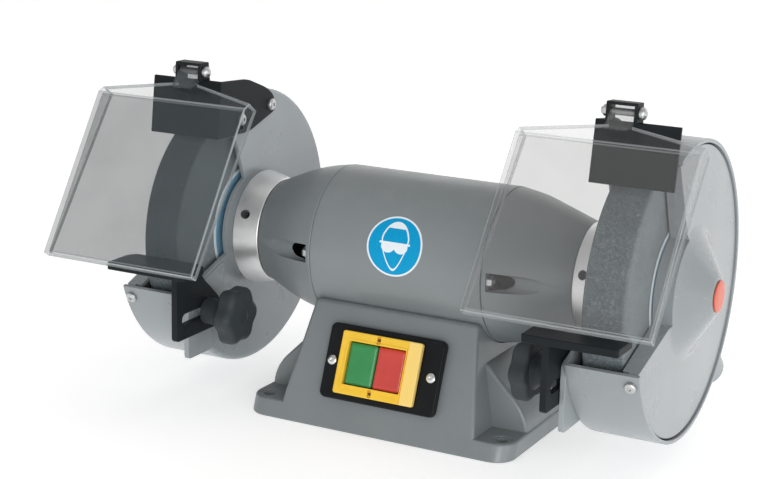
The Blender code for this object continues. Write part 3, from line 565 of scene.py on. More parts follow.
for word, middle_x, tone in (("start", -0.0151, (0.030, 0.245, 0.072)),
                             ("stop", 0.0091, (0.560, 0.052, 0.040))):
    middle = (middle_x, SWITCH_HEIGHT)
    button = pillow(word + "_push_pad", 0.0117, 0.0162, 0.0015, middle, 0.0075, 0.0112, 0.0022)
    gloss = moulded(word + "_gloss", tone, 0.22, 0.2, 0.4)
    gloss.surface.inputs["Coat Weight"].default_value = 0.25
    gloss.surface.inputs["Coat Roughness"].default_value = 0.08
    slot = "green_plastic" if word == "start" else "red_plastic"
    placed(on_panel(button), gloss, word + "_button", [word + "_button"], 50.0)


# ================================================================ screws and bolts
# Tie bolts clamp the end shields to the stator; their hexagon heads sit in the pockets.
# Domed chrome screws hold the switch plate, and zinc pan heads hold the arrestors and covers.
# The tie bolts and the plate screws are made as heads alone, with no shank inside.
HEAD_SIZES = ("Head Radius", "Head Height", "Socket Radius", "Socket Depth", "Crown")


def head_tree(finish, sides):
    """Nodes that put one turned head, with a socket in its top, on every point of a mesh."""
    tree = bpy.data.node_groups.new("fastener_heads", "GeometryNodeTree")
    tree.interface.new_socket("Places", in_out="INPUT", socket_type="NodeSocketGeometry")
    for word in HEAD_SIZES:
        tree.interface.new_socket(word, in_out="INPUT", socket_type="NodeSocketFloat")
    tree.interface.new_socket("Heads", in_out="OUTPUT", socket_type="NodeSocketGeometry")
    links = tree.links
    given = tree.nodes.new("NodeGroupInput")

    def node(kind, settings=None, sockets=None):
        made = tree.nodes.new(kind)
        for word, value in (settings or {}).items():
            setattr(made, word, value)
        for word, value in (sockets or {}).items():
            if isinstance(value, bpy.types.NodeSocket):
                links.new(value, made.inputs[word])
            else:
                made.inputs[word].default_value = value
        return made

    def grown(mesh, top, reach):
        return node("GeometryNodeExtrudeMesh", {"mode": "FACES"},
                    {"Mesh": mesh, "Selection": top, "Offset Scale": reach, "Individual": False})

    def times(first, second):
        return node("ShaderNodeMath", {"operation": "MULTIPLY"}, {0: first, 1: second}).outputs[0]

    skirt = times(given.outputs["Head Height"], 0.55)
    shape = node("GeometryNodeMeshCylinder", {}, {"Vertices": sides, "Radius": given.outputs["Head Radius"],
                                                 "Depth": skirt})
    solid, top = shape.outputs["Mesh"], shape.outputs["Top"]
    half_lift = node("ShaderNodeCombineXYZ", {}, {"Z": times(skirt, 0.5)}).outputs[0]
    solid = node("GeometryNodeTransform", {}, {"Geometry": solid, "Translation": half_lift}).outputs[0]
    rise = times(given.outputs["Head Height"], 0.15)
    for share in (0.93, 0.84, 0.70):
        layer = grown(solid, top, rise)
        solid, top = layer.outputs["Mesh"], layer.outputs["Top"]
        size = node("ShaderNodeMix", {"data_type": "FLOAT"},
                    {0: given.outputs["Crown"], 2: 1.0, 3: share}).outputs[0]
        solid = node("GeometryNodeScaleElements", {},
                     {"Geometry": solid, "Selection": top, "Scale": size}).outputs[0]
    inset = grown(solid, top, 0.0)
    narrow = node("GeometryNodeScaleElements", {},
                  {"Geometry": inset.outputs["Mesh"], "Selection": inset.outputs["Top"],
                                                   "Scale": given.outputs["Socket Radius"]})
    sunk = grown(narrow.outputs[0], inset.outputs["Top"], times(given.outputs["Socket Depth"], -1.0))
    axis = node("GeometryNodeInputNamedAttribute", {"data_type": "FLOAT_VECTOR"}, {"Name": "axis"}).outputs[0]
    turn = node("FunctionNodeAlignRotationToVector", {"axis": "Z"}, {"Vector": axis}).outputs[0]
    spots = node("GeometryNodeMeshToPoints", {}, {"Mesh": given.outputs["Places"]}).outputs[0]
    laid = node("GeometryNodeInstanceOnPoints", {},
                {"Points": spots, "Instance": sunk.outputs["Mesh"], "Rotation": turn})
    real = node("GeometryNodeRealizeInstances", {}, {"Geometry": laid.outputs[0]}).outputs[0]
    coated = node("GeometryNodeSetMaterial", {}, {"Geometry": real, "Material": finish.material}).outputs[0]
    links.new(coated, tree.nodes.new("NodeGroupOutput").inputs[0])
    return tree


def heads(name, finish, sides, sizes, spots):
    """Turned heads at (point, axis) spots, as one plain mesh; sizes follow HEAD_SIZES."""
    sizes = dict(zip(HEAD_SIZES, sizes))
    host_mesh = bpy.data.meshes.new(name)
    host_mesh.from_pydata([tuple(point) for point, axis in spots], [], [])
    ways = host_mesh.attributes.new("axis", "FLOAT_VECTOR", "POINT")
    for index, (point, axis) in enumerate(spots):
        ways.data[index].vector = Vector(axis).normalized()
    host = bpy.data.objects.new(name, host_mesh)
    bpy.context.scene.collection.objects.link(host)
    maker = host.modifiers.new("heads", "NODES")
    maker.node_group = head_tree(finish, sides)
    for item in maker.node_group.interface.items_tree:
        if item.in_out == "INPUT" and item.name in sizes:
            maker[item.identifier] = sizes[item.name]
    return settled(host)


chrome = plated("screw_chrome", (0.80, 0.80, 0.78), 0.16)
zinc = plated("fastener_zinc")
PANEL_OUT = panel.to_3x3() @ Vector((0.0, 0.0, 1.0))
spots = [(panel @ Vector((x, SWITCH_HEIGHT, PLATE_TOP + GAP)), PANEL_OUT) for x in SCREW_X]
plate_screws = heads("plate_screw_heads", chrome, 28, (0.0039, 0.0022, 0.62, 0.0009, 1.0), spots)
placed(plate_screws, chrome, "frame", ["plate_screw_left", "plate_screw_right"], 42.0)

TIE_CIRCLE, TIE_ANGLES, POCKET_FLOOR = 0.0545, (60.0, 180.0, 300.0), 0.0768
tie_points = [arc(TIE_CIRCLE, angle, angle, 1, (0.0, SHAFT_HEIGHT))[0] for angle in TIE_ANGLES]
spots = [((side * (POCKET_FLOOR + GAP), *point), (side, 0.0, 0.0)) for point in tie_points for side,
         word in SIDES]
tie_heads = heads("tie_bolt_heads", zinc, 6, (0.0046, 0.0045, 0.45, 0.0006, 0.6), spots)
placed(tie_heads, zinc, "frame", ["tie_bolt_1", "tie_bolt_2", "tie_bolt_3"], 30.0)


# ================================================================ stator housing
# The motor's rolled steel barrel, sprayed grey, rests in the base's saddle.
# Inside are the lamination stack and two lacquered copper windings.
def lathe(name, profile, segments=96, centre=None):
    """Turns a closed (x, radius) profile about a line along X."""
    centre = centre or (0.0, SHAFT_HEIGHT)
    builder = bmesh.new()
    rings = []
    for x, radius in profile:
        if radius <= 1e-9:
            rings.append([builder.verts.new((x, *centre))])
        else:
            rings.append([builder.verts.new((x, y, z)) for y,
                          z in arc(radius, 0.0, 360.0, segments, centre)[:-1]])
    for first, second in zip(rings, rings[1:] + rings[:1]):
        if len(first) == 1 and len(second) == 1:
            continue
        for step in range(segments):
            after = (step + 1) % segments
            corners = [first[step % len(first)], first[after % len(first)],
                       second[after % len(second)], second[step % len(second)]]
            builder.faces.new(list(dict.fromkeys(corners)))
    return made_of(name, builder)


housing_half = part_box("stator_housing")[1].x
housing_grey = enamel("housing_enamel", (0.222, 0.246, 0.252), 0.38, 0.35)
barrel = lathe("motor_barrel", eased([(-housing_half, 0.0578), (-housing_half, housing_radius),
                                      (housing_half, housing_radius), (housing_half, 0.0578)], 0.0008), 144)
placed(barrel, housing_grey, "frame", ["stator_housing"])

stack = Finish("stack_steel", metallic=1.0)
plies = stack.node("ShaderNodeTexWave", {"wave_type": "BANDS", "bands_direction": "X"},
                   {"Vector": stack.places(), "Scale": 630.0, "Distortion": 0.4})
stack.feed(base_color=stack.mixed(plies * stack.noise(200.0), (0.10, 0.10, 0.11), (0.34, 0.34, 0.35)),
           roughness=stack.spread(plies, 0.0, 1.0, 0.42, 0.62), normal=stack.bump(plies, 0.0001))
refinished(stack, "stator_core", "rotor_core")

coil = Finish("coil_copper", metallic=1.0)
coil_wave = coil.node("ShaderNodeTexWave", {"wave_type": "RINGS", "rings_direction": "X"},
                      {"Vector": coil.stretched((1.0, 1.0, 1.0), shift=(0.0, 0.0, -SHAFT_HEIGHT)),
                       "Scale": 320.0, "Distortion": 1.5, "Detail": 2.0})
coil.feed(base_color=coil.mixed(coil_wave, (0.30, 0.09, 0.03), (0.62, 0.26, 0.10)),
          roughness=coil.spread(coil_wave, 0.0, 1.0, 0.28, 0.5), normal=coil.bump(coil_wave, 0.0004))
refinished(coil, "winding_left", "winding_right")


# ================================================================ eye protection label
# A round printed vinyl sticker wrapped on the front of the barrel: blue ground and white rim,
# with a plain outline of a head wearing goggles.
LABEL_TURN, LABEL_RADIUS, LABEL_THICK = 164.0, 0.0234, 0.0002
label_mesh = bmesh.new()
label_uv = label_mesh.loops.layers.uv.new("print")
label_rings = []
for level_out in (LABEL_THICK, 0.00003):
    rows = []
    for ring in range(9):
        row = []
        for step in range(64):
            turn = math.tau * step / 64
            a, b = (ring / 8 * LABEL_RADIUS * way for way in (math.cos(turn), math.sin(turn)))
            wrap = math.radians(LABEL_TURN) - b / housing_radius
            out = housing_radius + level_out
            row.append((label_mesh.verts.new((a, out * math.cos(wrap), SHAFT_HEIGHT + out * math.sin(wrap))),
                        (a / LABEL_RADIUS, b / LABEL_RADIUS)))
        rows.append(row)
    label_rings.append(rows)


def label_face(*corners):
    face = label_mesh.faces.new([corner[0] for corner in corners])
    for loop, corner in zip(face.loops, corners):
        loop[label_uv].uv = corner[1]


for rows in label_rings:
    for row, outer in zip(rows, rows[1:]):
        for step in range(64):
            after = (step + 1) % 64
            label_face(row[step], row[after], outer[after], outer[step])
for step in range(64):
    after = (step + 1) % 64
    label_face(label_rings[0][-1][step], label_rings[0][-1][after], label_rings[1][-1][after],
               label_rings[1][-1][step])
bmesh.ops.remove_doubles(label_mesh, verts=label_mesh.verts, dist=0.000002)
label = made_of("goggles_label", label_mesh)

vinyl = Finish("label_vinyl", specular_ior_level=0.15)
printed = vinyl.node("ShaderNodeUVMap", {"uv_map": "print"})
across, along = printed.axis(0), printed.axis(1)
off_centre = (across * across + along * along) ** 0.5


def lens_area(x):
    """A flat-topped goggle lens: a circle's lower part under the strap line."""
    circle = ((across - x) * (across - x) * 0.75 + (along + 0.02) * (along + 0.02)) ** 0.5 < 0.215
    return circle * (along < 0.085)


def head_outline(grow):
    """A head: wide skull above, narrowing to the chin below."""
    narrowing = vinyl.spread(along, -0.85, 0.25, 0.24, 0.50)
    skull = ((across / narrowing) * (across / narrowing) + (along / 0.78) * (along / 0.78)) ** 0.5
    return skull < 1.0 + grow


white = off_centre > 0.94
outline = head_outline(0.045) * (1.0 - head_outline(-0.05))
hair = head_outline(-0.02) * (along > 0.58)
strap = (abs(along - 0.085) < 0.035) * (abs(across) < 0.55)
marks = vinyl.node("ShaderNodeClamp", {},
                   {0: white + outline + hair + strap + lens_area(-0.23) + lens_area(0.23)})
ink_grain = vinyl.noise(900.0, 3.0)
blue = vinyl.mixed(vinyl.spread(ink_grain, 0.35, 0.65), (0.0, 0.300, 0.580), (0.002, 0.335, 0.630))
vinyl.feed(base_color=vinyl.mixed(marks, blue, (0.80, 0.86, 0.90)),
           roughness=vinyl.spread(ink_grain, 0.3, 0.7, 0.32, 0.42), normal=vinyl.bump(ink_grain, 0.00002))
placed(label, vinyl, "frame", [])


# ================================================================ end shields
# Cast aluminium bells close the barrel and carry the bearings, painted with the barrel.
# Three pockets in each rim leave room for the tie bolts' heads.
def bolt_pocket(angle):
    """A slot with a round floor that a tie bolt's head sits in, open to the outside."""
    turn = math.radians(angle)
    out, over = Vector((math.cos(turn), math.sin(turn))), Vector((-math.sin(turn), math.cos(turn)))
    outline = arc(0.0070, angle + 90.0, angle + 270.0, 16) + [tuple(out * 0.016 - over * 0.0078),
                                                             tuple(out * 0.016 + over * 0.0078)]
    centre = Vector((TIE_CIRCLE * math.cos(turn), SHAFT_HEIGHT + TIE_CIRCLE * math.sin(turn)))
    return prism("pocket", [tuple(centre + Vector(point)) for point in outline], POCKET_FLOOR, 0.15, "X")


bell_grey = enamel("bell_enamel", (0.216, 0.240, 0.248), 0.42, 0.8)
BELL_END_RADIUS = 0.0415
for side, word in SIDES:
    bell_low, bell_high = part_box("end_shield_" + word)
    bell_start, bell_end = sorted((abs(bell_low.x), abs(bell_high.x)))
    outside = eased([(bell_start, 0.0558, 0.0), (bell_start, housing_radius - 0.0002, 0.0016),
                     (0.092, 0.0573, 0.012),
                     (0.108, 0.0518, 0.006), (bell_end, BELL_END_RADIUS, 0.0012), (bell_end, 0.0236, 0.0)],
                    0.0, 6)
    inside = [(0.1262, 0.0236), (0.1115, 0.0238), (0.1115, 0.0400), (0.105, 0.0430), (0.090, 0.0505),
              (bell_start + 0.001, 0.0540)]
    bell = lathe(word + "_bell", outside + inside, 96)
    for angle in TIE_ANGLES:
        cut(bell, bolt_pocket(angle))
    mirrored(bell, side)
    placed(bell, bell_grey, "frame", ["end_shield_" + word])


# ================================================================ bearings and shaft
# Sealed ball races sit in the bells and carry the ground steel shaft with the rotor on it.
# They keep the frame's own shapes and get a ground steel finish.
ground = Finish("ground_steel", metallic=1.0)
turning = ground.stretched((6000.0, 60.0, 60.0))
lay = ground.noise(1.0, 3.0, 0.6, turning)
ground.feed(base_color=ground.mixed(lay, (0.42, 0.42, 0.43), (0.60, 0.60, 0.61)),
            roughness=ground.spread(lay, 0.3, 0.7, 0.20, 0.38), normal=ground.bump(lay, 0.00003))
refinished(ground, "shaft", "bearing_left", "bearing_right")


# ================================================================ hub rings
# A turned aluminium collar between each bell and its wheel guard, left bare and satin,
# with a grub screw in a drilled hole that locks it.
satin = Finish("turned_aluminium", metallic=1.0)
satin_turning = satin.stretched((5200.0, 40.0, 40.0))
tool_marks = satin.noise(1.0, 3.0, 0.55, satin_turning)
satin_cloud = satin.noise(80.0, 4.0)
cloudy = satin.spread(satin_cloud, 0.3, 0.7)
satin.feed(base_color=satin.mixed(cloudy, (0.90, 0.90, 0.90), (0.95, 0.95, 0.95)),
           roughness=satin.spread(tool_marks, 0.3, 0.7, 0.26, 0.40) + cloudy * 0.06,
           normal=satin.bump(tool_marks, 0.00005))
GRUB_SCREW = {-1: (0.1440, 155.0), 1: (0.1465, 164.0)}
for side, word in SIDES:
    ring_low, ring_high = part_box("hub_ring_" + word)
    ring_start, ring_end = sorted((abs(ring_low.x), abs(ring_high.x)))
    collar = lathe(word + "_collar", eased([(ring_start, 0.0240), (ring_start, 0.0422), (ring_end, 0.0468),
                                            (ring_end, 0.0240)], 0.0007, 3), 120)
    grub_x, grub_angle = GRUB_SCREW[side]
    inner, outer = (arc(reach, grub_angle, grub_angle, 1, (0.0, SHAFT_HEIGHT))[0] for reach in (0.034, 0.06))
    cut(collar, rod("grub_hole", (grub_x, *inner), (grub_x, *outer), 0.0038, 24))
    placed(mirrored(collar, side), satin, "frame", ["hub_ring_" + word])
    grub_out = Vector((0.0, *arc(1.0, grub_angle, grub_angle, 1)[0]))
    grub_at = Vector((side * grub_x, 0.0, SHAFT_HEIGHT)) + grub_out * 0.0365
    grub_black = moulded(word + "_grub_black", (0.03, 0.03, 0.032), 0.4)
    grub = heads(word + "_grub_screw", grub_black, 24, (0.0034, 0.0030, 0.6, 0.0016, 0.4),
                 [(grub_at, grub_out)])
    placed(grub, grub_black, "frame", [])


# ================================================================ grinding wheels
# Grey aluminium-oxide wheels, vitrified grit with open pores, their corners dressed round.
# Steel flanges with paper blotters grip each wheel, and a hexagon nut draws them up.
wheel_low, wheel_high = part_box("wheel_left")
WHEEL_RADIUS = (wheel_high - wheel_low).z / 2.0
grit = Finish("bonded_grit", roughness=0.92)
grains = grit.node("ShaderNodeTexVoronoi", {"feature": "F1"}, {"Vector": grit.places(), "Scale": 1300.0},
                   output="Color")
grain_tone = grains.axis(0)
pores = grit.spread(grit.noise(1100.0, 4.0, 0.65), 0.30, 0.52)
grit_tone = grit.node("ShaderNodeValToRGB",
                      {"stops": ((0.0, (0.112, 0.134, 0.148)), (0.45, (0.165, 0.200, 0.218)),
                                                      (0.86, (0.215, 0.253, 0.269)),
                                 (1.0, (0.36, 0.40, 0.415)))},
                      {0: grain_tone})
# Painted shade: faces that point along the shaft are coloured lighter and the rim is left darker, picked by
# which way each face points.
painted_lit_sides = abs(grit.facing(0))
grit_shade_and_wear = grit.mixed(painted_lit_sides * 0.55, grit_tone, (0.300, 0.340, 0.355))
# Then dark pores and random darker patches, the grit's own colour, go on top of the painted shade.
grit_shade_and_wear = grit.mixed((1.0 - pores) * 0.6, grit_shade_and_wear, (0.075, 0.090, 0.100))
grit_shade_and_wear = grit.mixed(grit.spread(grit.noise(38.0, 3.0), 0.45, 0.75) * 0.35, grit_shade_and_wear, (0.11, 0.125, 0.135))
grit.feed(base_color=grit_shade_and_wear, normal=grit.bump(grain_tone * 0.5 + pores, 0.0004, 0.5))

paper = Finish("blotter_card", roughness=0.8)
card_places = paper.places()
card_y, card_z = card_places.axis(1), card_places.axis(2) - SHAFT_HEIGHT
card_reach = (card_y * card_y + card_z * card_z) ** 0.5
fibre = paper.noise(700.0, 5.0, 0.7)
card = paper.mixed(paper.spread(fibre, 0.3, 0.7), (0.13, 0.31, 0.46), (0.20, 0.41, 0.55))
paper.feed(base_color=paper.mixed(paper.spread(card_reach, 0.0470, 0.0476), card, (0.70, 0.76, 0.80)),
           normal=paper.bump(fibre, 0.00006))

spark_steel = plated("flange_steel", (0.48, 0.48, 0.49), 0.34)
inner_face, outer_face = (corner.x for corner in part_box("wheel_right"))
BORE, SPIGOT = 0.0083, 0.0157
for side, word in SIDES:
    turned_pieces = (
        ("stone", [(inner_face, 0.016, 0.0003), (inner_face, WHEEL_RADIUS, 0.0026),
                   (outer_face, WHEEL_RADIUS, 0.0026), (outer_face, 0.016, 0.0003)], 160, grit, "abrasive",
         "wheel"),
        ("inner_clamp", [(0.1635, BORE), (0.1635, 0.030), (0.1650, 0.036), (0.1672, 0.036), (0.1672, SPIGOT),
                         (0.1955, SPIGOT), (0.1955, BORE)], 64, spark_steel, "zinc_steel", "inner_flange"),
        ("outer_clamp",
         [(outer_face + 0.0013, BORE), (outer_face + 0.0013, 0.036), (outer_face + 0.0035, 0.036),
                         (outer_face + 0.0053, 0.030), (outer_face + 0.0053, BORE)], 64, spark_steel,
         "zinc_steel",
         "outer_flange"),
        ("inner_card", [(0.1675, 0.0165), (0.1675, 0.050), (0.1682, 0.050), (0.1682, 0.0165)], 64, paper,
         "blotter_paper", "inner_blotter"),
        ("outer_card", [(outer_face + GAP, 0.0165), (outer_face + GAP, 0.050), (outer_face + 0.0010, 0.050),
                        (outer_face + 0.0010, 0.0165)], 64, paper, "blotter_paper", "outer_blotter"),
    )
    for piece_name, profile, segments, finish, slot, node in turned_pieces:
        piece = lathe(word + "_" + piece_name, eased(profile, 0.0002, 4), segments)
        placed(mirrored(piece, side), finish, "rotor", [node + "_" + word])

    nut_start = outer_face + 0.0053 + GAP
    hexagon = rod(word + "_spindle_nut", (nut_start, 0.0, SHAFT_HEIGHT),
                  (nut_start + 0.013, 0.0, SHAFT_HEIGHT), 0.0139, 6)
    chamfer = lathe("chamfer",
                    [(nut_start - 0.001, 0.0), (nut_start - 0.001, 0.0131), (nut_start + 0.0008, 0.0140),
                                (nut_start + 0.0122, 0.0140), (nut_start + 0.0132, 0.0131),
                     (nut_start + 0.0132, 0.0)], 48)
    worked(hexagon, "INTERSECT", [chamfer])
    cut(hexagon, rod("hole", (0.19, 0.0, SHAFT_HEIGHT), (0.24, 0.0, SHAFT_HEIGHT), BORE, 32))
    placed(mirrored(hexagon, side), zinc, "rotor", ["wheel_nut_" + word], 25.0)


# ================================================================ wheel guards
# Pressed steel drums, open at the front for the work, riveted to a boss on the motor side.
# Each has a spout for a dust hose at the back and a fixed stud for its tool rest.
GUARD_RADIUS, GUARD_WALL, GUARD_FACE = 0.1132, 0.003, 0.159
GUARD_RIM, COVER_SCREW_X, COVER_SCREW_ANGLE = 0.2162, 0.2095, 203.0
MOUTH_TOP, MOUTH_BOTTOM, MOUTH_HUB_RADIUS = 112.5, 198.5, 0.0465
STUD_AT, PIVOT_AT, SLOT_SCREW_AT = (-0.085, -0.0512), (0.0145, 0.0995), (-0.031, 0.0935)
DUST_PORT_X, DUST_PORT_ANGLE = 0.1985, math.radians(-41.0)
guard_grey = enamel("guard_enamel", (0.285, 0.312, 0.325), 0.30, 0.25)


def mouth_region(radius):
    """The open sector in front of the wheel, outside the hub disc."""
    return raised(arc(MOUTH_HUB_RADIUS, MOUTH_TOP, MOUTH_BOTTOM, 40) + arc(radius, MOUTH_BOTTOM, MOUTH_TOP,
                                                                           8))


def cover_screw_bar(name, inner, outer, radius):
    """A bar along the cover screw, which points at the shaft."""
    start, end = (arc(reach, COVER_SCREW_ANGLE, COVER_SCREW_ANGLE, 1,
                      (0.0, SHAFT_HEIGHT))[0] for reach in (inner, outer))
    return rod(name, (COVER_SCREW_X, *start), (COVER_SCREW_X, *end), radius, 24)


stud = raised((STUD_AT,))[0]
port_way = Vector((0.0, math.cos(DUST_PORT_ANGLE), math.sin(DUST_PORT_ANGLE)))
port_middle = Vector((DUST_PORT_X, 0.0, SHAFT_HEIGHT))
for side, word in SIDES:
    drum = lathe(word + "_guard_drum", eased([
        (GUARD_FACE, 0.024, 0.0), (GUARD_FACE, GUARD_RADIUS, 0.0042), (GUARD_RIM, GUARD_RADIUS, 0.0008),
        (GUARD_RIM, GUARD_RADIUS - GUARD_WALL, 0.0008),
        (GUARD_FACE + GUARD_WALL, GUARD_RADIUS - GUARD_WALL, 0.0020),
        (GUARD_FACE + GUARD_WALL, 0.024, 0.0)], 0.0, 5), 144)
    cut(drum, prism("mouth", mouth_region(0.15), 0.15, 0.25, "X"))
    join(drum, lathe("boss", eased([(0.1525, 0.0240, 0.0), (0.1525, 0.0450, 0.0008), (0.1605, 0.0450, 0.0),
                                    (0.1605, 0.0240, 0.0)], 0.0, 3), 96))
    pad = eased([(-0.1030, -0.0885), (-0.070, -0.0885), (-0.050, -0.060), (-0.050, -0.0190),
                 (-0.1030, -0.0370)], 0.004)
    join(drum, prism("pad", raised(pad), 0.1568, 0.1610, "X", 0.0006))
    for y, z in raised((PIVOT_AT, SLOT_SCREW_AT)):
        join(drum, rod("boss", (0.1580, y, z), (0.1605, y, z), 0.0058, 32))
    join(drum,
         rod("port", port_middle + port_way * 0.1107, port_middle + port_way * 0.1370, 0.0155, 48, 0.0004))
    cut(drum, rod("bore", port_middle + port_way * 0.1000, port_middle + port_way * 0.1400, 0.0130, 48))
    for y, z in raised((PIVOT_AT, SLOT_SCREW_AT)):
        cut(drum, rod("hole", (0.15, y, z), (0.17, y, z), 0.0028, 20))
    join(drum, rod("clamp_stud", (0.1390, *stud), (0.1600, *stud), 0.0039, 24, 0.0004))
    cut(drum, cover_screw_bar("hole", 0.100, 0.120, 0.0024))
    placed(mirrored(drum, side), guard_grey, "frame", ["guard_" + word])


# ================================================================ guard covers
# A dished steel lid closes the outer end of each guard, with a raised cone in its middle
# and a folded wall along the mouth. One screw through the band holds it; a cap plugs the cone.
COVER_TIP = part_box("guard_cover_right")[1].x
edge = GUARD_RADIUS - GUARD_WALL - 0.0010
lip = edge - 0.003
cover_grey = enamel("cover_enamel", (0.268, 0.293, 0.304), 0.24, 0.2)
cover_grey.surface.inputs["Coat Weight"].default_value = 0.45


def edge_strip(radius, width):
    """The folded wall along the mouth, between the mouth's edge and a line behind it."""
    top, bottom, hub = MOUTH_TOP, MOUTH_BOTTOM, MOUTH_HUB_RADIUS
    front = arc(radius, top, top, 1)[:1] + arc(hub, top, bottom, 40) + arc(radius, bottom, bottom, 1)[:1]
    hub_turn = math.degrees(math.asin(width / (hub - width)))
    rim_turn = math.degrees(math.asin(width / radius))
    behind = arc(radius, bottom + rim_turn, bottom, 1)[:1]
    behind += arc(hub - width, bottom + hub_turn, top - hub_turn, 40)
    behind += arc(radius, top - rim_turn, top, 1)[:1]
    return raised(front + behind)


cap_orange = moulded("cap_orange", (0.62, 0.118, 0.066), 0.30, 0.5, 0.4)
cap_orange.surface.inputs["Coat Weight"].default_value = 0.3
for side, word in SIDES:
    dish = eased([
        (COVER_TIP, 0.0085, 0.0003), (COVER_TIP, 0.0140, 0.0020), (0.2190, 0.0430, 0.0030),
        (0.2160, 0.0490, 0.0030),
        (0.2146, edge, 0.0012), (0.2070, edge, 0.0003), (0.2070, lip, 0.0003), (0.2112, lip, 0.0008),
        (0.2125, 0.0490, 0.0030), (0.2155, 0.0425, 0.0030), (0.2312, 0.0140, 0.0010),
        (0.2312, 0.0085, 0.0003)],
        0.0, 5)
    cover = lathe(word + "_guard_lid", dish, 144)
    cut(cover, prism("mouth", mouth_region(0.14), 0.19, 0.25, "X"))
    join(cover, prism("edge_wall", edge_strip(lip + 0.001, 0.003), 0.2024, 0.2140, "X"))
    cut(cover, cover_screw_bar("hole", 0.100, 0.120, 0.0024))
    placed(mirrored(cover, side), cover_grey, "frame", ["guard_cover_" + word])

    cap = lathe(word + "_cone_cap", eased([
        (0.2300, 0.0, 0.0), (0.2300, 0.0081, 0.0003), (COVER_TIP + GAP, 0.0081, 0.0),
        (COVER_TIP + GAP, 0.0120, 0.0003),
        (0.2374, 0.0120, 0.0006), (0.2382, 0.0080, 0.0020), (0.2382, 0.0, 0.0)], 0.0, 4), 64)
    placed(mirrored(cap, side), cap_orange, "frame", ["cover_cap_" + word])

    screw_out = Vector((0.0, *arc(1.0, COVER_SCREW_ANGLE, COVER_SCREW_ANGLE, 1)[0]))
    screw_at = Vector((side * COVER_SCREW_X, 0.0, SHAFT_HEIGHT)) + screw_out * (GUARD_RADIUS + GAP)
    lid_screw = heads(word + "_lid_screw", zinc, 28, (0.0045, 0.0029, 0.5, 0.0012, 0.9),
                      [(screw_at, screw_out)])
    shank = cover_screw_bar("shank", 0.104, GUARD_RADIUS + 0.0006, 0.0020)
    join(lid_screw, mirrored(shank, side))
    placed(lid_screw, zinc, "frame", ["cover_screw_" + word])


# ================================================================ spark arrestors
# Bent black steel plates close the top of each mouth just above the wheel.
# An arm beside the guard swings on one screw and is locked by another in a curved slot.
ARRESTOR_LIFT = {-1: 0.0, 1: 3.4}
black_steel = moulded("black_powder_coat", (0.011, 0.014, 0.0155), 0.42, 0.25, 0.12)
PIVOT = raised((PIVOT_AT,))[0]


def swung(piece, point, degrees):
    """Turns a piece about a line along X through (y, z); positive lifts its front."""
    centre = Matrix.Translation((0.0, *point))
    piece.data.transform(centre @ Matrix.Rotation(-math.radians(degrees), 4, "X") @ centre.inverted())
    return piece


low, high = 0.082, 0.127
face = [(-0.0590, high), (-0.0640, low), (-0.0615, low), (-0.0565, high)]
arm = eased([(-0.0588, high, 0.0), (-0.020, 0.1245), (0.008, 0.1145), (0.020, 0.107), (0.0245, 0.094),
             (-0.017, 0.0815), (-0.0638, low, 0.0)], 0.006)
reach = math.dist(PIVOT_AT, SLOT_SCREW_AT)
bearing = math.degrees(math.atan2(SLOT_SCREW_AT[1] - PIVOT_AT[1], SLOT_SCREW_AT[0] - PIVOT_AT[0])) % 360.0
slot_line = arc(reach + 0.0029, bearing - 5.5, bearing + 11.0, 16, PIVOT_AT)
slot_line += arc(reach - 0.0029, bearing + 11.0, bearing - 5.5, 16, PIVOT_AT)
strip_line = eased([(-0.037, 0.0875), (0.0205, 0.0945), (0.0195, 0.1045), (-0.0345, 0.0985)], 0.002)
for side, word in SIDES:
    deflector = prism(word + "_deflector", raised(face), 0.1552, 0.2185, "X", 0.0005)
    join(deflector, prism("arm", raised(arm), 0.1552, 0.1577, "X", 0.0004))
    cut(deflector, prism("slot", raised(slot_line), 0.15, 0.16, "X"),
        rod("hole", (0.15, *PIVOT), (0.16, *PIVOT), 0.0028))
    placed(swung(mirrored(deflector, side), PIVOT, ARRESTOR_LIFT[side]), black_steel,
           "spark_arrestor_" + word, ["spark_arrestor_" + word])

    spots = [((side * 0.1549, y, z), (-side, 0.0, 0.0)) for y, z in raised((PIVOT_AT, SLOT_SCREW_AT))]
    arm_screws = heads(word + "_arm_screws", zinc, 28, (0.0048, 0.0034, 0.55, 0.0016, 0.9), spots)
    strip = prism("strip", raised(strip_line), 0.1623, 0.1650, "X", 0.0004)
    for y, z in raised((PIVOT_AT, SLOT_SCREW_AT)):
        join(strip, rod("shank", (0.1548, y, z), (0.1640, y, z), 0.0025))
    join(arm_screws, mirrored(strip, side))
    placed(arm_screws, zinc, "frame", ["arrestor_screws_" + word])


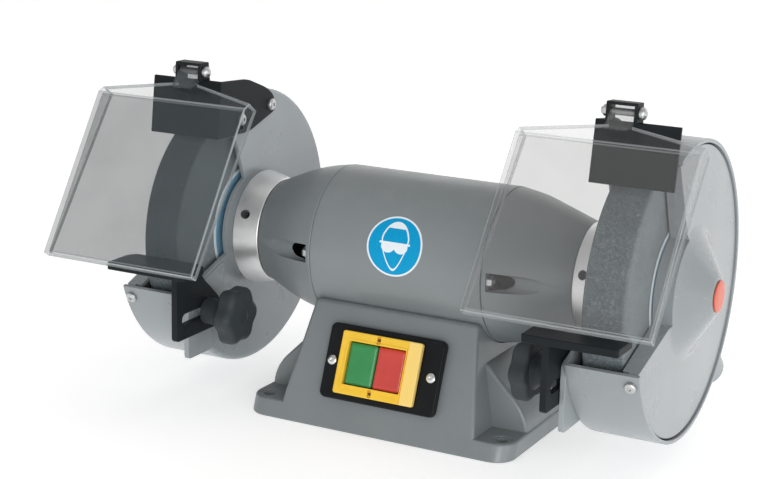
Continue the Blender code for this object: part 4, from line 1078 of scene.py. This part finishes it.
# ================================================================ hinge clips
# A folded black clip screws to the top of each arrestor and holds the eye shield's hinge pin,
# which is a small bolt with a domed head on one side and a nut on the other.
CLIP_X = {-1: -0.1808, 1: 0.1772}
HINGE_AT = (-0.062, 0.134)
HINGE = raised((HINGE_AT,))[0]
clip_half, clip_wall, shelf = 0.0118, 0.0025, 0.1273
clip_line = [(-0.0680, shelf), (-0.0672, 0.1412), (-0.0555, 0.1412), (-0.0537, 0.1270), (-0.0537, 0.1173),
             (-0.0573, 0.1173), (-0.0562, shelf)]
channel = [(-0.08, 0.1250), (-0.08, 0.1390), (-0.04, 0.1390), (-0.04, 0.1250)]
for side, word in SIDES:
    middle = CLIP_X[side]
    clip = prism(word + "_hinge_clip", raised(clip_line), middle - clip_half, middle + clip_half, "X", 0.0006)
    cut(clip, prism("channel", raised(channel), middle - clip_half + clip_wall,
                    middle + clip_half - clip_wall, "X"),
        rod("hole", (middle - 0.02, *HINGE), (middle + 0.02, *HINGE), 0.0028))
    placed(swung(clip, PIVOT, ARRESTOR_LIFT[side]), black_steel, "spark_arrestor_" + word,
           ["shield_clip_" + word])

    start_x = clip_half + GAP
    pin = rod(word + "_hinge_bolt", (middle - 0.0165, *HINGE), (middle + 0.0135, *HINGE), 0.0025, 24, 0.0004)
    join(pin, rod("nut", (middle - start_x - 0.0028, *HINGE), (middle - start_x, *HINGE), 0.0042, 6, 0.0002),
         lathe("dome", eased([(middle + start_x, 0.0, 0.0), (middle + start_x, 0.0045, 0.0002),
                              (middle + start_x + 0.0030, 0.0045, 0.0012),
                              (middle + start_x + 0.0048, 0.0015, 0.0012),
                              (middle + start_x + 0.0048, 0.0, 0.0)], 0.0, 4), 32, HINGE))
    placed(swung(pin, PIVOT, ARRESTOR_LIFT[side]), zinc, "spark_arrestor_" + word,
           ["shield_pin_" + word])


# ================================================================ eye shields
# Clear polycarbonate trays folded from flat sheet, with polished edges painted whitish and more opaque as a
# painted highlight.
# A tapered tongue at the top middle turns on the hinge pin.
SHIELD_TILT = {-1: 32.0, 1: 36.5}
RIM_AREA, FOLD_AREA, TONGUE_REACH = 0.0004, 0.006, 0.021
sheet_half, sheet_height, sheet_thick, lug_half = 0.06825, 0.1368, 0.0025, 0.0085
crease = Vector((-0.016, -0.032))
gable = Vector((16.0, 22.0)).normalized()
foot_z = crease.y - sheet_height
clear = Finish("clear_polycarbonate", roughness=0.06)
# Painted highlight: the small rim faces are coloured whitish and made more opaque.
ridge = clear.node("ShaderNodeAttribute", {"attribute_name": "ridge"}, output="Fac")
fold = clear.node("ShaderNodeAttribute", {"attribute_name": "fold"}, output="Fac")
# Painted light: the left-hand shield, where x is below zero, gets a greyer, more opaque tint than the right,
# standing in for how differently the two alike sheets catch the light.
left_sheet_painted_grey = clear.places().axis(0) < 0.0
haze = clear.noise(22.0, 5.0, 0.6)
tint = clear.mixed(left_sheet_painted_grey, (0.185, 0.186, 0.184), (0.064, 0.078, 0.084))
tint = clear.mixed(ridge * 0.6, tint, (0.62, 0.67, 0.68))
scuffs = clear.noise(1.0, 4.0, 0.7, clear.stretched((30.0, 300.0, 120.0), (0.4, 0.9, 0.3)))
scuffs = clear.spread(scuffs, 0.62, 0.75)
see = (0.20 + left_sheet_painted_grey * 0.19) * (1.0 - fold * 0.7) + ridge * 0.26 + clear.spread(haze, 0.4, 0.7, 0.0, 0.03)
clear.feed(base_color=tint, alpha=see, roughness=0.05 + scuffs * 0.06 + haze * 0.04,
           normal=clear.bump(haze, 0.00004, 0.2))


def from_pivot(point, degrees):
    """Where a (y, z) point goes when the arrestor is swung up about its pivot screw."""
    turned_point = Matrix.Rotation(-math.radians(degrees), 2) @ (Vector(point) - Vector(PIVOT_AT))
    return turned_point + Vector(PIVOT_AT)


for side, word in SIDES:
    builder = bmesh.new()
    marks = {}
    for sign in (-1, 1):
        x = sign * sheet_half
        shape = {"top": (x, crease.x, crease.y), "bottom": (x, crease.x, foot_z),
                 "roof": (x, crease.x + gable.x * 0.008, crease.y + gable.y * 0.008),
                 "back_top": (x, crease.x + 0.0170, crease.y + 0.0055),
                 "back_foot": (x, crease.x + 0.008, foot_z),
                 "peak": (sign * lug_half, crease.x + gable.x * 0.0265, crease.y + gable.y * 0.0265)}
        for mark, point in shape.items():
            marks[mark, sign] = builder.verts.new(point)
    rows = (("top", -1), ("bottom", -1), ("bottom", 1), ("top", 1)), \
           (("bottom", -1), ("back_foot", -1), ("back_foot", 1), ("bottom", 1)), \
           (("top", -1), ("top", 1), ("roof", 1), ("peak", 1), ("peak", -1), ("roof", -1))
    for row in rows:
        builder.faces.new([marks[mark] for mark in row])
    for sign in (-1, 1):
        ring = [marks[mark, sign] for mark in ("top", "roof", "back_top", "back_foot", "bottom")]
        builder.faces.new(ring if sign < 0 else ring[::-1])
    tray = made_of(word + "_clear_shield", builder)
    wall = tray.modifiers.new("sheet", "SOLIDIFY")
    wall.thickness = sheet_thick
    wall.offset = -1.0
    wall.use_even_offset = True
    settled(tray)
    bevelled(tray, 0.0009, 3, 25.0)
    lug = [(0.0045, 0.0)] + arc(0.0045, 0.0, 180.0, 16)[1:] + [(-0.0075, -0.0155), (-0.0040, -0.0185),
                                                               (0.0015, -0.0120)]
    join(tray, prism("lug", lug, -lug_half, lug_half, "X", 0.0004))
    cut(tray, rod("hole", (-0.02, 0.0, 0.0), (0.02, 0.0, 0.0), 0.0028))
    tray.data.transform(Matrix.Rotation(-math.radians(SHIELD_TILT[side]), 4, "X"))
    hinge_y, hinge_z = raised((from_pivot(HINGE_AT, ARRESTOR_LIFT[side]),))[0]
    tray.data.transform(Matrix.Translation((CLIP_X[side], hinge_y, hinge_z)))
    # Marks the small rim faces for the painted edge highlight; the tongue gets a little of it.
    edge_highlights = tray.data.attributes.new("ridge", "FLOAT", "FACE")
    folds = tray.data.attributes.new("fold", "FLOAT", "FACE")
    hinge_middle = Vector((CLIP_X[side], hinge_y, hinge_z))
    for polygon, edge_highlight_value, fold_value in zip(tray.data.polygons, edge_highlights.data, folds.data):
        on_tongue = (polygon.center - hinge_middle).length < TONGUE_REACH
        edge_highlight_value.value = 0.15 if on_tongue else float(polygon.area < RIM_AREA)
        fold_value.value = float(RIM_AREA <= polygon.area < FOLD_AREA)
    placed(tray, clear, "eye_shield_" + word, ["eye_shield_" + word], 25.0)


# ================================================================ tool rests
# Bent black steel tables for the work, one in front of each wheel.
# A slotted web lets each one slide to the worn wheel, clamped by a moulded star knob.
REST_TOP = SHAFT_HEIGHT - 0.009
web = eased([(-0.127, -0.0145, 0.0), (-0.096, -0.0145, 0.002), (-0.0885, -0.025, 0.002),
             (-0.066, -0.0445, 0.004),
             (-0.066, -0.0675, 0.004), (-0.127, -0.0675, 0.004)], 0.0)
rest_slot = arc(0.0045, 90.0, 270.0, 12, (-0.1150, STUD_AT[1])) + arc(0.0045, -90.0, 90.0, 12,
                                                                      (-0.0745, STUD_AT[1]))
table = eased([(0.1390, -0.136), (0.2105, -0.136), (0.2105, -0.108), (0.2060, -0.102), (0.1460, -0.102),
               (0.1390, -0.108)], 0.002)
for side, word in SIDES:
    rest = prism(word + "_work_table", table, REST_TOP - 0.006, REST_TOP, "Z", 0.0008)
    join(rest, prism("web", raised(web), 0.1515, 0.1565, "X", 0.0006))
    cut(rest, prism("slot", raised(rest_slot), 0.14, 0.17, "X"))
    placed(mirrored(rest, side), black_steel, "tool_rest_" + word, ["tool_rest_" + word])


# ================================================================ clamp knobs
# Six-lobed star knobs moulded in dark thermoset. The neck bears on the rest's web,
# and a blind bore takes the guard's clamp stud.
knob_black = moulded("knob_thermoset", (0.036, 0.043, 0.047), 0.42)
KNOB_BACK, KNOB_FRONT, KNOB_STEPS, KNOB_ROUND = 0.1315, 0.1170, 8, 0.0058
KNOB_POINTS, KNOB_RADIUS, LOBES, LOBE_RISE = 144, 0.0221, 6.0, 0.0015
for side, word in SIDES:
    sections = []
    for step in range(KNOB_STEPS + 1):
        turn = math.radians(90.0 * step / KNOB_STEPS)
        sections.append((KNOB_FRONT + KNOB_ROUND * (1.0 - math.sin(turn)),
                         KNOB_ROUND * (1.0 - math.cos(turn))))
    back_half = [(KNOB_BACK - (x - KNOB_FRONT) * 0.5, inset * 0.5) for x, inset in sections]
    loops = []
    for x, inset in sorted(sections + back_half):
        ring = []
        for index in range(KNOB_POINTS):
            turn = math.tau * index / KNOB_POINTS
            radius = KNOB_RADIUS + LOBE_RISE * math.cos(LOBES * turn) - inset
            ring.append((x, stud[0] + radius * math.cos(turn), stud[1] + radius * math.sin(turn)))
        loops.append(ring)
    knob = closed_skin(word + "_star_knob", loops)
    neck = eased([(0.1310, 0.0, 0.0), (0.1310, 0.0150, 0.0), (0.1350, 0.0105, 0.002),
                  (0.1512, 0.0105, 0.0006),
                  (0.1512, 0.0, 0.0)], 0.0, 4)
    join(knob, lathe("neck", neck, 48, stud))
    cut(knob, rod("bore", (0.1385, *stud), (0.1600, *stud), 0.0042, 24))
    cut(knob, lathe("dimple", eased([(0.110, 0.0, 0.0), (0.110, 0.0075, 0.0), (0.1176, 0.0062, 0.0008),
                                     (0.1178, 0.0, 0.0)],
                                    0.0, 3), 48, stud))
    placed(mirrored(knob, side), knob_black, "rest_knob_" + word, ["rest_knob_" + word])
